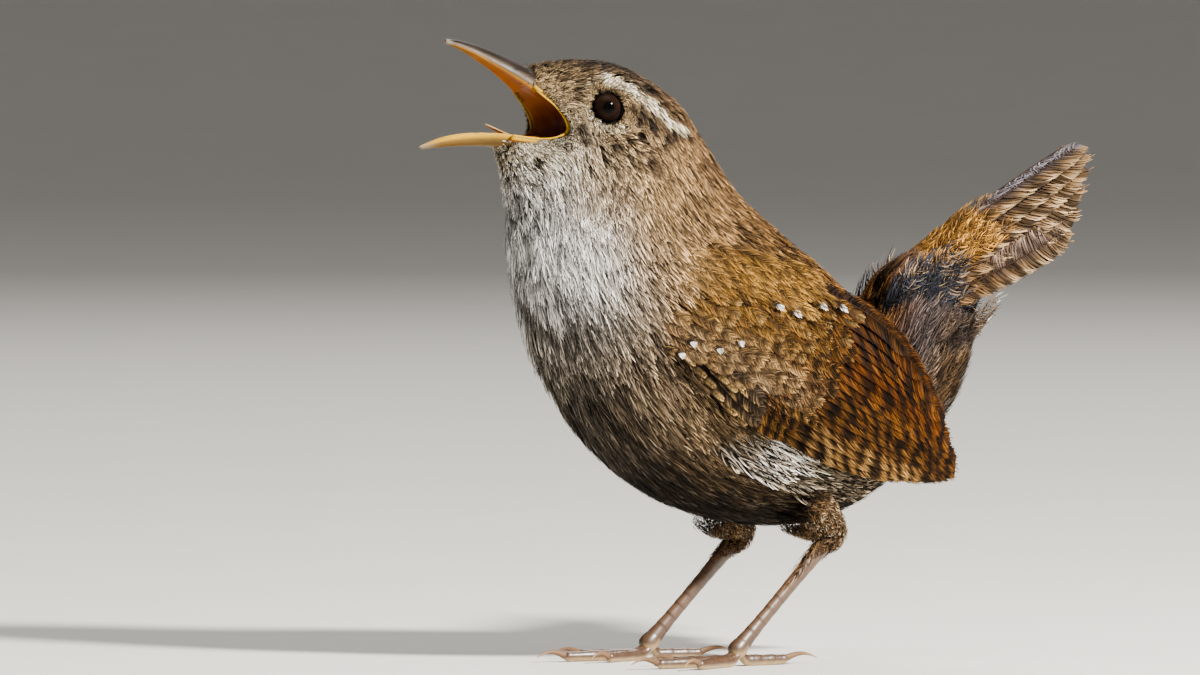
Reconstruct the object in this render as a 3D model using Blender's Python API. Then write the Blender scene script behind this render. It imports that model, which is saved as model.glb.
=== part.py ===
"""A Eurasian wren, life size, standing in song with its bill open and its tail cocked.

Lengths are written in millimetres and scaled to metres once. The bird faces -Y, its left
side is +X, and the soles of its toes lie on Z = 0. Every named object is one closed solid.
"""

import math
import random

import bmesh
import bpy
import numpy as np
from mathutils import Vector

MM = 0.001
GAP = 0.3
SLIVER = 0.002

# Cross-sections of the plumage from the bill to the tail coverts: dorsal y and z, ventral
# y and z, half width, and how far the widest line sits towards the back.
BODY = {
    "face": (-23.2, 68.3, -26.5, 59.0, 3.05, 0.12),
    "lore": (-21.0, 68.9, -26.1, 57.2, 3.6, 0.20),
    "brow": (-17.3, 69.2, -25.3, 54.8, 4.9, 0.30),
    "crown": (-13.0, 68.9, -24.6, 52.4, 7.05, 0.30),
    "hind_crown": (-8.7, 67.2, -24.1, 49.8, 8.2, 0.20),
    "occiput": (-4.4, 64.3, -23.6, 47.0, 9.0, 0.08),
    "nape": (-1.7, 60.5, -23.1, 43.8, 9.9, 0.04),
    "shoulder": (2.4, 54.7, -22.0, 39.8, 11.4, 0.0),
    "mantle": (7.4, 50.2, -20.0, 34.4, 13.1, 0.0),
    "back": (12.4, 46.4, -16.9, 28.9, 14.2, 0.0),
    "mid_back": (16.3, 43.2, -11.8, 23.0, 14.2, 0.0),
    "loin": (18.6, 41.4, -5.0, 18.7, 13.2, 0.0),
    "rump": (20.0, 40.8, 3.0, 16.3, 11.7, 0.0),
    "thigh": (20.8, 40.8, 11.6, 16.0, 9.9, 0.0),
    "vent": (21.2, 41.2, 19.0, 18.2, 8.2, 0.0),
    "under_tail": (21.9, 42.6, 25.9, 23.1, 7.0, 0.05),
    "covert_root": (23.2, 44.6, 31.4, 29.0, 5.9, 0.1),
    "covert_mid": (26.0, 46.4, 34.0, 34.6, 4.6, 0.1),
    "covert_tip": (28.4, 46.9, 34.6, 38.8, 3.0, 0.0),
}
BODY_ROWS = list(BODY.values())
# Where each length of the body ends, in rows, and how many lengths each is drawn with.
HEAD_END = 5.4
NECK_END = 7.4
TORSO_END = 14.2
BODY_END = len(BODY) - 1
HEAD_STEPS = 11
NECK_STEPS = 4
TORSO_STEPS = 14
RUMP_STEPS = 8
BODY_SIDES = 24
# Rows at which the cutters that keep the bill, thighs, wings and tail clear of the body start.
FACE_CUT = 4
BELLY_CUT = 7
FLANK_CUT = 4
RUMP_CUT = 12
CUTTER_STEPS = 2

# The gape: the fleshy lining of the open mouth in profile, from palate to tongue bed.
GAPE_LINE = ((-23.6, 66.2), (-21.3, 64.1), (-20.1, 62.2), (-20.3, 61.0), (-22.5, 60.4), (-26.2, 60.8))
LINING_THICK = 0.8
# Two points ahead of the face, above and below the bill, that close the outline of the gape.
GAPE_FRONT = ((-40, 56.5), (-40, 80))
GAPE_HALF = 12
LINING_PROUD = 0.1

# Bill stations: ridge y and z, cutting edge y and z, half width.
UPPER_BILL = (
    (-21.3, 67.9, -21.7, 64.2, 3.2),
    (-22.9, 68.5, -23.4, 65.8, 2.9),
    (-26.0, 69.8, -26.2, 67.8, 1.9),
    (-29.1, 70.95, -29.5, 69.75, 1.2),
    (-31.5, 71.6, -31.7, 70.8, 0.72),
    (-33.2, 71.8, -33.3, 71.3, 0.3),
)
LOWER_BILL = (
    (-22.3, 58.8, -21.8, 60.4, 3.0),
    (-25.2, 59.2, -24.3, 60.7, 2.7),
    (-27.6, 59.5, -27.3, 61.1, 2.05),
    (-30.6, 59.6, -30.9, 61.0, 1.3),
    (-33.7, 59.5, -33.8, 60.5, 0.72),
    (-36.5, 59.2, -36.5, 59.6, 0.28),
)
BILL_STEPS = 9
UPPER_HOLLOW = 0.3
LOWER_HOLLOW = 0.45
# One side of the bill's section: how far out, and how far from the ridge to the cutting edge.
BILL_SECTION = ((0, 0), (0.45, 0.08), (0.8, 0.35), (1, 0.7), (1, 1))
NOSTRIL = (1.75, -25.4, 68.1)
NOSTRIL_RADIUS = 0.5
NOSTRIL_SHAPE = (1.0, 1.1, 0.45)
TONGUE = ((-21.2, 61.45), (-24.2, 61.35), (-28.0, 62.0))
TONGUE_HALF = (1.15, 0.3)
TONGUE_THICK = (0.32, 0.2)
TONGUE_STEPS = 6
TONGUE_SIDES = 8

EYE_CENTRE = (5.2, -15.5, 63.8)
EYE_RADIUS = 2.15
EYE_FACING = (0.95, -0.28, 0.1)
LID_RADIUS = 2.1
LID_TUBE = 0.4
LID_LIFT = 1.2
LID_TURNS = 18
LID_SIDES = 5
BALL_ROWS = 8
NOSTRIL_ROWS = 5

# The closed wing's frame starts at the wrist; its surface bulges to the side by these
# amounts every 6 mm from 8 mm before the wrist, and curves in towards both edges.
WRIST = (-9.5, 39.6)
WING_PITCH = math.radians(-24.8)
WING_BULGE = (8.8, 12.0, 14.1, 15.1, 15.1, 14.3, 12.8, 10.7, 8.2, 5.6)
WING_STEP = 6
WING_START = -8
WING_CREST = 0.3
WING_CURVE = 16.6
VANE_THICK = 0.5
# How far the lower edge of a flight feather and of a covert stands proud, in degrees.
FLIGHT_TILT = 11
COVERT_TILT = 9
# The pad of the arm: its reach along the wing, and its depth at both ends.
CORE_REACH = (-2.6, 26.0)
CORE_DEPTH = (3.4, 1.6)
CORE_STEPS = 7
CORE_COLUMNS = 5
# Lengths into which the blade of each kind of feather is divided.
FLIGHT_STEPS = 5
TAIL_STEPS = 6
COVERT_STEPS = 4

# Tail feathers from the central pair outwards.
TAIL_ROOT = ((21.0, 41.2), (21.5, 38.5))
TAIL_MID = ((33.2, 50.0), (33.0, 43.6))
TAIL_TIP = ((49.3, 59.6), (44.4, 50.0))
TAIL_SPREAD = (1.3, 6.4)
TAIL_ROLL = (10, 62)
TAIL_WIDTH = (5.6, 4.4)
TAIL_SIDE = 6
TAIL_BENT = 0.12
# The axis along which the tail's coverts lie, from inside the rump.
TAIL_AXIS = (21.5, 39.2)
TAIL_PITCH = math.radians(34)
# The core that holds the tail feathers: length, half width and half depth at both ends.
TAIL_CORE = 17.5
TAIL_CORE_HALF = (3.6, 2.8)
TAIL_CORE_THICK = (2.6, 1.0)
TAIL_CORE_STEPS = 3
TAIL_CORE_SIDES = 10

LEGS = {
    "left": {"side": 1, "hip": (6.0, 5.6, 20.5), "heel": (6.9, 13.3, 15.2), "foot": (7.6, 0.3, 2.0)},
    "right": {"side": -1, "hip": (-5.8, 2.0, 20.0), "heel": (-6.4, 8.3, 14.7), "foot": (-7.4, -3.4, 2.0)},
}
# Toes: turn from straight ahead, towards the outside, length of the toe and of its claw.
TOES = {
    "inner": (-24, 7.6, 3.4),
    "middle": (3, 10.8, 3.8),
    "outer": (29, 8.2, 3.3),
    "hind": (184, 6.6, 4.6),
}
# Thigh stations: share of the way from hip to heel, way on along the shin, radius.
THIGH = ((0, 0, 4.4), (0.35, 0, 3.8), (0.65, 0, 3.0), (0.9, 0.3, 2.1), (1, 1.1, 1.6), (1, 2.6, 1.1))
THIGH_SIDES = 12
THIGH_FLAT = 0.9
# Shank stations: share of the way down, radius.
SHANK = ((0, 1.0), (0.12, 0.9), (0.35, 0.78), (0.7, 0.76), (0.9, 0.86), (1, 0.95))
SHANK_FLAT = 0.82
# Ankle stations: way along the shin from the middle of the foot, radius.
ANKLE = ((-1.3, 0.95), (-0.5, 1.15), (0.5, 1.15), (1.0, 0.7))
LEG_SIDES = 10
TOE_RADIUS = 0.78
TOE_TAPER = 0.22
TOE_PADS = 3
TOE_PAD_SWELL = 0.1
TOE_STEPS = 8
TOE_SIDES = 8
TOE_AXIS_HEIGHT = 0.62
CLAW_HEIGHT = 0.72
CLAW_RADII = (0.5, 0.12)
CLAW_REACH = 0.9
CLAW_ARCH = 0.75
CLAW_ARCH_TURN = 0.8 * math.pi
CLAW_DROP = 0.55
CLAW_STEPS = 6
CLAW_SIDES = 6
CLAW_FLAT = 0.8
SMOOTH_BELOW = math.radians(40)

# Base colour, roughness and metallic value of each finish.
FINISHES = {
    "plumage": ((0.33, 0.23, 0.15), 0.85, 0.0),
    "throat": ((0.62, 0.58, 0.52), 0.85, 0.0),
    "wing": ((0.30, 0.15, 0.07), 0.75, 0.0),
    "horn": ((0.16, 0.12, 0.09), 0.35, 0.0),
    "yellow_horn": ((0.62, 0.45, 0.20), 0.38, 0.0),
    "gape": ((0.80, 0.32, 0.04), 0.4, 0.0),
    "eye": ((0.02, 0.012, 0.01), 0.05, 0.0),
    "leg": ((0.42, 0.28, 0.20), 0.4, 0.0),
    "claw": ((0.20, 0.14, 0.10), 0.35, 0.0),
}


def clear_scene():
    for thing in list(bpy.data.objects):
        bpy.data.objects.remove(thing)


def finish(name):
    made = bpy.data.materials.get(name)
    if made:
        return made
    colour, rough, metal = FINISHES[name]
    made = bpy.data.materials.new(name)
    made.use_nodes = True
    shader = made.node_tree.nodes["Principled BSDF"]
    shader.inputs["Base Color"].default_value = (*colour, 1)
    shader.inputs["Roughness"].default_value = rough
    shader.inputs["Metallic"].default_value = metal
    return made


def solid(name, points, faces, look):
    """One mesh object from points in millimetres, with its faces turned outwards."""
    mesh = bpy.data.meshes.new(name)
    mesh.from_pydata([tuple(MM * c for c in p) for p in points], [], faces)
    shape = bmesh.new()
    shape.from_mesh(mesh)
    bmesh.ops.recalc_face_normals(shape, faces=shape.faces)
    shape.to_mesh(mesh)
    shape.free()
    mesh.materials.append(finish(look))
    made = bpy.data.objects.new(name, mesh)
    bpy.context.scene.collection.objects.link(made)
    return made


def shade(thing):
    """Smooth shading, with edges kept sharp where two faces meet at a steep angle."""
    thing.data.shade_smooth()
    thing.data.set_sharp_from_angle(angle=SMOOTH_BELOW)


def apply_modifiers(thing):
    graph = bpy.context.evaluated_depsgraph_get()
    mesh = bpy.data.meshes.new_from_object(thing.evaluated_get(graph))
    thing.modifiers.clear()
    thing.data = mesh
    return thing


def boolean(thing, operation, others, solver="EXACT"):
    """Joins, cuts or crops thing with a collection of closed meshes, which are then removed."""
    group = bpy.data.collections.new("tools")
    for other in others:
        group.objects.link(other)
    modifier = thing.modifiers.new("join", "BOOLEAN")
    modifier.operation = operation
    modifier.operand_type = "COLLECTION"
    modifier.collection = group
    modifier.solver = solver
    apply_modifiers(thing)
    for other in others:
        bpy.data.objects.remove(other)
    bpy.data.collections.remove(group)
    return keep_largest(thing)


def keep_largest(thing):
    """Drops loose scraps and sealed hollows: only the largest closed surface stays."""
    shape = bmesh.new()
    shape.from_mesh(thing.data)
    bmesh.ops.dissolve_degenerate(shape, dist=SLIVER * MM, edges=shape.edges)
    shape.verts.ensure_lookup_table()
    island = {}
    groups = []
    for start in shape.verts:
        if start in island:
            continue
        found = [start]
        island[start] = len(groups)
        for vert in found:
            for edge in vert.link_edges:
                other = edge.other_vert(vert)
                if other not in island:
                    island[other] = len(groups)
                    found.append(other)
        groups.append(found)
    if len(groups) > 1:
        sizes = [0.0] * len(groups)
        for face in shape.faces:
            centre = face.calc_center_median()
            sizes[island[face.verts[0]]] += face.calc_area() * face.normal.dot(centre) / 3
        best = max(range(len(groups)), key=lambda k: sizes[k])
        spare = [v for k, found in enumerate(groups) if k != best for v in found]
        bmesh.ops.delete(shape, geom=spare, context="VERTS")
    shape.to_mesh(thing.data)
    shape.free()
    return thing


def loft(name, rings, look):
    """A closed solid through rings of equal length, with flat ends."""
    sides = len(rings[0])
    points = [p for ring in rings for p in ring]
    faces = []
    for k in range(len(rings) - 1):
        for j in range(sides):
            a = k * sides + j
            b = k * sides + (j + 1) % sides
            faces.append((a, b, b + sides, a + sides))
    faces.append(tuple(range(sides)))
    faces.append(tuple(range((len(rings) - 1) * sides, len(rings) * sides)))
    return solid(name, points, faces, look)


def prism(name, profile, half_width, look):
    """A block with the given y, z outline, extruded to both sides."""
    left = [(half_width, y, z) for y, z in profile]
    right = [(-half_width, y, z) for y, z in profile]
    return loft(name, [left, right], look)


def mix(a, b, f):
    return a + (b - a) * f


def curve_through(rows, t):
    """Catmull-Rom value of a list of equal rows of numbers at row number t."""
    table = np.asarray(rows, float)
    k = int(min(max(math.floor(t), 0), len(table) - 2))
    s = t - k
    p1, p2 = table[k], table[k + 1]
    p0 = table[k - 1] if k > 0 else 2 * p1 - p2
    p3 = table[k + 2] if k + 2 < len(table) else 2 * p2 - p1
    return 0.5 * (
        2 * p1
        + (p2 - p0) * s
        + (2 * p0 - 5 * p1 + 4 * p2 - p3) * s * s
        + (3 * p1 - p0 - 3 * p2 + p3) * s**3
    )


# Body


def body_ring(t, grow=0.0, shift=0.0, sides=BODY_SIDES):
    """The cross-section at row t, grown in its own plane and shifted along its normal."""
    dy, dz, vy, vz, half, high = curve_through(BODY_ROWS, t)
    middle = Vector((0, (dy + vy) / 2, (dz + vz) / 2))
    up = Vector((0, (dy - vy) / 2, (dz - vz) / 2))
    reach = up.length + grow
    up.normalize()
    along = Vector((0, -up.z, up.y)) * -1
    ring = []
    for k in range(sides):
        turn = 2 * math.pi * k / sides
        rise = math.cos(turn) + high * math.sin(turn) ** 2
        side = Vector(((half + grow) * math.sin(turn), 0, 0))
        ring.append(middle + up * reach * rise + side + along * shift)
    return ring


def body_length(name, start, end, steps, look, grow=0.0, cut_start=GAP / 2, cut_end=GAP / 2):
    """Part of the plumage between two rows, its cut faces held back by half a gap each."""
    stations = [start + (end - start) * k / steps for k in range(steps + 1)]
    rings = [body_ring(t, grow) for t in stations]
    rings[0] = body_ring(start, grow, cut_start)
    rings[-1] = body_ring(end, grow, -cut_end)
    return loft(name, rings, look)


def grown_body(name, start, end):
    """A cutter: the plumage with a gap's thickness added all round."""
    steps = CUTTER_STEPS * (end - start + 1)
    return body_length(name, start, end, steps, "plumage", GAP, -GAP, -GAP)


# Head


def offset_line(line, distance):
    """The y, z line moved sideways by distance, away from the open mouth."""
    moved = []
    for k, (y, z) in enumerate(line):
        y0, z0 = line[max(k - 1, 0)]
        y1, z1 = line[min(k + 1, len(line) - 1)]
        run = math.hypot(y1 - y0, z1 - z0)
        moved.append((y - distance * (z1 - z0) / run, z + distance * (y1 - y0) / run))
    return moved


def ball(name, centre, radius, rows, look, squash=(1, 1, 1)):
    points = [(0, 0, radius)]
    for i in range(1, rows):
        lat = math.pi * i / rows
        for j in range(2 * rows):
            lon = math.pi * j / rows
            points.append((
                radius * math.sin(lat) * math.cos(lon),
                radius * math.sin(lat) * math.sin(lon),
                radius * math.cos(lat),
            ))
    points.append((0, 0, -radius))
    last = len(points) - 1
    ring = 2 * rows
    faces = []
    for j in range(ring):
        n = (j + 1) % ring
        faces.append((0, 1 + j, 1 + n))
        faces.append((last, last - ring + n, last - ring + j))
        for i in range(rows - 2):
            a = 1 + i * ring
            faces.append((a + j, a + ring + j, a + ring + n, a + n))
    placed = [tuple(c + s * q for c, s, q in zip(centre, squash, p)) for p in points]
    return solid(name, placed, faces, look)


def mirrored(point, side):
    return Vector((side * point[0], point[1], point[2]))


def lid(side):
    """The ring of bare skin round the eye."""
    axis = mirrored(EYE_FACING, side).normalized()
    centre = mirrored(EYE_CENTRE, side) + axis * LID_LIFT
    across = axis.cross(Vector((0, 0, 1))).normalized()
    upward = across.cross(axis)
    points = []
    for i in range(LID_TURNS):
        a = 2 * math.pi * i / LID_TURNS
        out = across * math.cos(a) + upward * math.sin(a)
        for j in range(LID_SIDES):
            b = 2 * math.pi * j / LID_SIDES
            reach = LID_RADIUS + LID_TUBE * math.cos(b)
            points.append(centre + out * reach + axis * LID_TUBE * math.sin(b))
    faces = []
    for i in range(LID_TURNS):
        for j in range(LID_SIDES):
            a = i * LID_SIDES
            b = (i + 1) % LID_TURNS * LID_SIDES
            n = (j + 1) % LID_SIDES
            faces.append((a + j, b + j, b + n, a + n))
    return solid("lid", points, faces, "plumage")


def make_head():
    head = body_length("head", 0, HEAD_END, HEAD_STEPS, "plumage", cut_start=0)
    boolean(head, "UNION", [lid(1), lid(-1)])
    mouth = offset_line(GAPE_LINE, LINING_THICK + GAP)
    tools = [prism("notch", [*mouth, *GAPE_FRONT], GAPE_HALF, "gape")]
    for side in (1, -1):
        tools.append(ball("socket", mirrored(EYE_CENTRE, side), EYE_RADIUS + GAP, BALL_ROWS, "eye"))
    return boolean(head, "DIFFERENCE", tools)


def make_eye(name, side):
    return ball(name, mirrored(EYE_CENTRE, side), EYE_RADIUS, BALL_ROWS, "eye")


def make_mouth():
    """The lining of the gape: a folded plate from the palate round to the tongue bed."""
    outer = offset_line(GAPE_LINE, LINING_THICK)
    plate = prism("mouth", [*GAPE_LINE, *outer[::-1]], GAPE_HALF, "gape")
    room = body_length("room", 0, HEAD_END, HEAD_STEPS, "plumage", grow=LINING_PROUD, cut_start=0)
    return boolean(plate, "INTERSECT", [room])


def bill_ring(ridge_y, ridge_z, edge_y, edge_z, half, hollow):
    """Twelve points: the rounded ridge, both cutting edges and the hollow between them."""
    ridge = Vector((0, ridge_y, ridge_z))
    edge = Vector((0, edge_y, edge_z))
    drop = edge - ridge
    shape = (*BILL_SECTION, (0.5, 1 - hollow), (0, 1 - 1.3 * hollow))
    left = [ridge + drop * d + Vector((half * w, 0, 0)) for w, d in shape]
    right = [mirrored(p, -1) for p in left[-2:0:-1]]
    return left + right


def make_bill(name, stations, hollow, look):
    rings = []
    for k in range(BILL_STEPS + 1):
        t = (len(stations) - 1) * k / BILL_STEPS
        rings.append(bill_ring(*curve_through(stations, t), hollow))
    bill = loft(name, rings, look)
    return boolean(bill, "DIFFERENCE", [grown_body("face", 0, FACE_CUT)])


def make_upper_bill():
    bill = make_bill("upper_bill", UPPER_BILL, UPPER_HOLLOW, "horn")
    slits = []
    for side in (1, -1):
        centre = mirrored(NOSTRIL, side)
        slits.append(ball("slit", centre, NOSTRIL_RADIUS, NOSTRIL_ROWS, "horn", NOSTRIL_SHAPE))
    return boolean(bill, "DIFFERENCE", slits)


def make_tongue():
    rings = []
    for k in range(TONGUE_STEPS + 1):
        s = k / TONGUE_STEPS
        y, z = curve_through(TONGUE, s * (len(TONGUE) - 1))
        half = mix(*TONGUE_HALF, s**1.5)
        thick = mix(*TONGUE_THICK, s)
        turns = [2 * math.pi * j / TONGUE_SIDES for j in range(TONGUE_SIDES)]
        rings.append([(half * math.cos(a), y, z + thick * math.sin(a)) for a in turns])
    return loft("tongue", rings, "gape")


# Feathers


def vane(centre, outward, width, bent=0.0, steps=5, thick=VANE_THICK, base=0.5, end=0.3):
    """A closed feather blade along centre(s) for s from 0 to 1, facing outward(s).

    It widens to its full width two thirds of the way out, ends rounded and thins to its tip.
    Both faces are split into triangles the same way.
    """
    points = []
    for k in range(steps + 1):
        s = 1 - (1 - k / steps) ** 1.4
        here = Vector(centre(s))
        ahead = Vector(centre(min(s + 0.02, 1.0))) - Vector(centre(max(s - 0.02, 0.0)))
        normal = Vector(outward(s)).normalized()
        across = ahead.cross(normal).normalized()
        normal = across.cross(ahead).normalized()
        swell = base + (1 - base) * min(s / 0.6, 1)
        rounding = math.sqrt(1 - (1 - end**2) * max((s - 0.8) / 0.2, 0) ** 2)
        half = 0.5 * width * swell * rounding
        depth = 0.5 * thick * (1 - 0.4 * s)
        edge = normal * -bent * half
        points += [
            here - across * half + edge + normal * depth,
            here + across * half + edge + normal * depth,
            here + across * half + edge - normal * depth,
            here - across * half + edge - normal * depth,
        ]
    faces = [(0, 3, 2), (0, 2, 1)]
    for k in range(steps):
        a, b = 4 * k, 4 * k + 4
        faces += [(a, a + 1, b + 1), (a, b + 1, b)]
        faces += [(a + 3, b + 2, a + 2), (a + 3, b + 3, b + 2)]
        faces += [(a + 1, a + 2, b + 2), (a + 1, b + 2, b + 1)]
        faces += [(a + 3, a, b), (a + 3, b, b + 3)]
    last = 4 * steps
    faces += [(last, last + 1, last + 2), (last, last + 2, last + 3)]
    return solid("vane", points, faces, "wing")


def between(a, b, f):
    return [mix(p, q, f) for p, q in zip(a, b)]


def bezier(a, b, c, s):
    return [(1 - s) ** 2 * p + 2 * s * (1 - s) * q + s * s * r for p, q, r in zip(a, b, c)]


def wing_surface(a, b):
    """The wing's surface, a along it from the wrist and b up across it."""
    ca, sa = math.cos(WING_PITCH), math.sin(WING_PITCH)
    bulge = curve_through([(v,) for v in WING_BULGE], (a - WING_START) / WING_STEP)[0]
    across = min(abs(b - WING_CREST) / WING_CURVE, 0.95)
    x = bulge * math.sqrt(1 - across**2)
    return Vector((x, WRIST[0] + a * ca - b * sa, WRIST[1] + a * sa + b * ca))


def sheet_point(a, b, lift, side):
    """A point lifted off the wing's surface, and the outward direction there."""
    here = wing_surface(a, b)
    normal = (wing_surface(a + 0.1, b) - here).cross(wing_surface(a, b + 0.1) - here)
    normal.normalize()
    return mirrored(here + normal * lift, side), mirrored(normal, side)


def wing_vane(side, root, bend, tip, width, lift, tilt, **shape):
    """A feather laid on the wing, tilted like a shingle so that its lower edge stands proud."""

    def centre(s):
        a, b = bezier(root, bend, tip, s)
        return sheet_point(a, b, lift * (1 - 0.6 * s), side)[0]

    def outward(s):
        a, b = bezier(root, bend, tip, s)
        here, normal = sheet_point(a, b, 0, side)
        upward = sheet_point(a, b + 0.5, 0, side)[0] - here
        return normal + upward.normalized() * math.tan(math.radians(tilt))

    return vane(centre, outward, width, **shape)


# Flight feathers of one wing from the innermost tertial to the outermost primary: the reach
# of the tip along the wing and its height across it, and the width of the blade.
FLIGHT = (
    (29.5, 9.0, 5.6), (32.5, 7.4, 5.4), (35.0, 5.9, 5.0),
    (36.4, 5.1, 4.4), (37.3, 4.5, 4.2), (38.0, 3.9, 4.2),
    (38.6, 3.4, 4.2), (39.2, 2.9, 4.2), (39.8, 2.5, 4.2),
    (40.4, 2.1, 3.8), (41.1, 1.7, 3.8), (41.8, 1.3, 3.8), (42.4, 0.9, 3.7), (42.9, 0.5, 3.6),
    (43.0, 0.0, 3.6), (42.0, -0.7, 3.5), (39.8, -1.6, 3.4), (36.2, -2.8, 3.2),
)


# The roots of the flight feathers and the points that bend them, uppermost and lowermost,
# and their lift off the wing's surface.
FLIGHT_ROOT = ((8.5, 8.6), (8.0, -5.2))
FLIGHT_BEND = ((20.0, 13.0), (24.0, -7.6))
FLIGHT_LIFT = (0.2, -0.5)
FLIGHT_VARY = 0.3


# Rows of coverts: count, root and tip of the uppermost and lowermost feather, width, lift.
COVERTS = (
    (7, (5.5, 7.8), (5.5, -2.6), (19.5, 10.6), (17.5, -3.4), 4.2, 0.6),
    (5, (1.5, 6.4), (2.0, -2.0), (11.5, 8.8), (10.5, -2.4), 4.2, 1.0),
    (4, (-2.2, 4.6), (-1.6, -2.0), (5.8, 6.8), (5.2, -2.4), 4.0, 1.2),
    (3, (2.6, -2.6), (3.2, -5.4), (16.5, -4.4), (14.0, -6.6), 3.2, 0.5),
    (2, (0.4, -2.6), (1.2, -4.6), (10.5, -4.6), (8.6, -6.6), 3.0, 0.85),
)
COVERT_VARY = (0.5, 0.2)
COVERT_BOW = (0.6, -0.5)


def wing_feathers(side):
    vary = random.Random(4)
    pieces = []
    last = len(FLIGHT) - 1
    for k, (reach, rise, width) in enumerate(FLIGHT):
        f = k / last
        root = between(*FLIGHT_ROOT, f)
        bend = between(*FLIGHT_BEND, f)
        tip = (reach + vary.uniform(-FLIGHT_VARY, FLIGHT_VARY), rise)
        lift = mix(*FLIGHT_LIFT, f)
        pieces.append(wing_vane(side, root, bend, tip, width, lift, FLIGHT_TILT, steps=FLIGHT_STEPS))
    for count, root_top, root_low, tip_top, tip_low, width, lift in COVERTS:
        for k in range(count):
            f = k / (count - 1)
            root = between(root_top, root_low, f)
            tip = [c + vary.uniform(-v, v) for c, v in zip(between(tip_top, tip_low, f), COVERT_VARY)]
            bend = between(root, tip, 0.5)
            bend[1] += mix(*COVERT_BOW, f)
            broad = width * vary.uniform(0.94, 1.06)
            pieces.append(
                wing_vane(side, root, bend, tip, broad, lift, COVERT_TILT, steps=COVERT_STEPS, base=0.6)
            )
    return pieces


def wing_core(side):
    """The arm and the bases of the feathers: a pad under the coverts, thinning to the rear."""
    rings = []
    shares = [j / CORE_COLUMNS for j in range(CORE_COLUMNS + 1)]
    for k in range(CORE_STEPS + 1):
        s = k / CORE_STEPS
        a = mix(*CORE_REACH, s)
        top = 4.2 + 8.0 * math.sin(math.pi * min(s * 0.62 + 0.02, 0.5))
        low = -2.2 - 4.2 * math.sin(math.pi * min(s * 0.85 + 0.05, 0.62))
        outer = [sheet_point(a, mix(low, top, f), 0.1, side)[0] for f in shares]
        inner = [sheet_point(a, mix(top, low, f), -mix(*CORE_DEPTH, s), side)[0] for f in shares]
        rings.append(outer + inner)
    return loft("core", rings, "wing")


def make_wing(name, side):
    wing = wing_core(side)
    wing.name = name
    boolean(wing, "UNION", wing_feathers(side), "MANIFOLD")
    return boolean(wing, "DIFFERENCE", [grown_body("flank", FLANK_CUT, BODY_END)], "MANIFOLD")


# Tail


def tail_feather(k, side):
    """The rectrix number k from the middle, as a path, a facing and a blade width."""
    f = k / (TAIL_SIDE - 1)
    even = f**0.9
    root = between(*TAIL_ROOT, even)
    middle = between(*TAIL_MID, even)
    tip = between(*TAIL_TIP, f**1.5)
    bend = [2 * m - 0.5 * (r + t) for r, m, t in zip(root, middle, tip)]
    out = mix(*TAIL_SPREAD, even)
    roll = math.radians(mix(*TAIL_ROLL, f))

    def centre(s):
        y, z = bezier(root, bend, tip, s)
        return Vector((side * (0.35 + out * min(1.25 * s, 1) ** 0.8), y, z))

    def outward(s):
        return Vector((side * math.sin(roll), -0.55 * math.cos(roll), 0.83 * math.cos(roll)))

    return centre, outward, mix(*TAIL_WIDTH, f)


# Coverts over the tail: count, turn round the tail's axis of the first and last,
# start and end along the axis, distance from it sideways and upwards at start and end.
TAIL_COVERTS = (
    (5, -66, 66, 4.0, 18.5, (3.6, 2.8), (4.9, 3.6), 3.5),
    (4, -50, 50, 2.0, 13.5, (3.6, 3.2), (4.7, 4.2), 3.7),
)
# Coverts under the tail, which belong to the rump and stay clear of the tail.
VENT_COVERTS = (
    (5, 146, 214, 3.0, 14.8, (8.0, 9.6), (6.6, 7.6), 3.5),
    (4, 150, 210, -1.0, 10.8, (8.5, 12.6), (7.6, 9.8), 3.6),
)


def along_tail(run, turn, aside, above):
    """A point by the tail's axis and the direction away from it at that turn."""
    y = TAIL_AXIS[0] + run * math.cos(TAIL_PITCH)
    z = TAIL_AXIS[1] + run * math.sin(TAIL_PITCH)
    up = Vector((0, -math.sin(TAIL_PITCH), math.cos(TAIL_PITCH)))
    side = math.sin(turn)
    rise = math.cos(turn)
    return Vector((side * aside, y, z)) + up * rise * above, Vector((side, 0, 0)) + up * rise


def tail_covert(turn, first, last, near, far, width):
    def centre(s):
        return along_tail(mix(first, last, s), turn, mix(near[0], far[0], s), mix(near[1], far[1], s))[0]

    def outward(s):
        return along_tail(0, turn, 1, 1)[1]

    return vane(centre, outward, width, bent=TAIL_BENT, steps=COVERT_STEPS, base=0.6, end=0.4)


def coverts(rows, vary):
    pieces = []
    for count, turn_first, turn_last, first, last, near, far, width in rows:
        for k in range(count):
            turn = math.radians(mix(turn_first, turn_last, k / (count - 1)))
            reach = last + vary.uniform(-0.8, 0.8)
            pieces.append(tail_covert(turn, first, reach, near, far, width))
    return pieces


def make_rump():
    rump = body_length("rump", TORSO_END, BODY_END, RUMP_STEPS, "plumage", cut_end=0)
    return boolean(rump, "UNION", coverts(VENT_COVERTS, random.Random(5)), "MANIFOLD")


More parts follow.
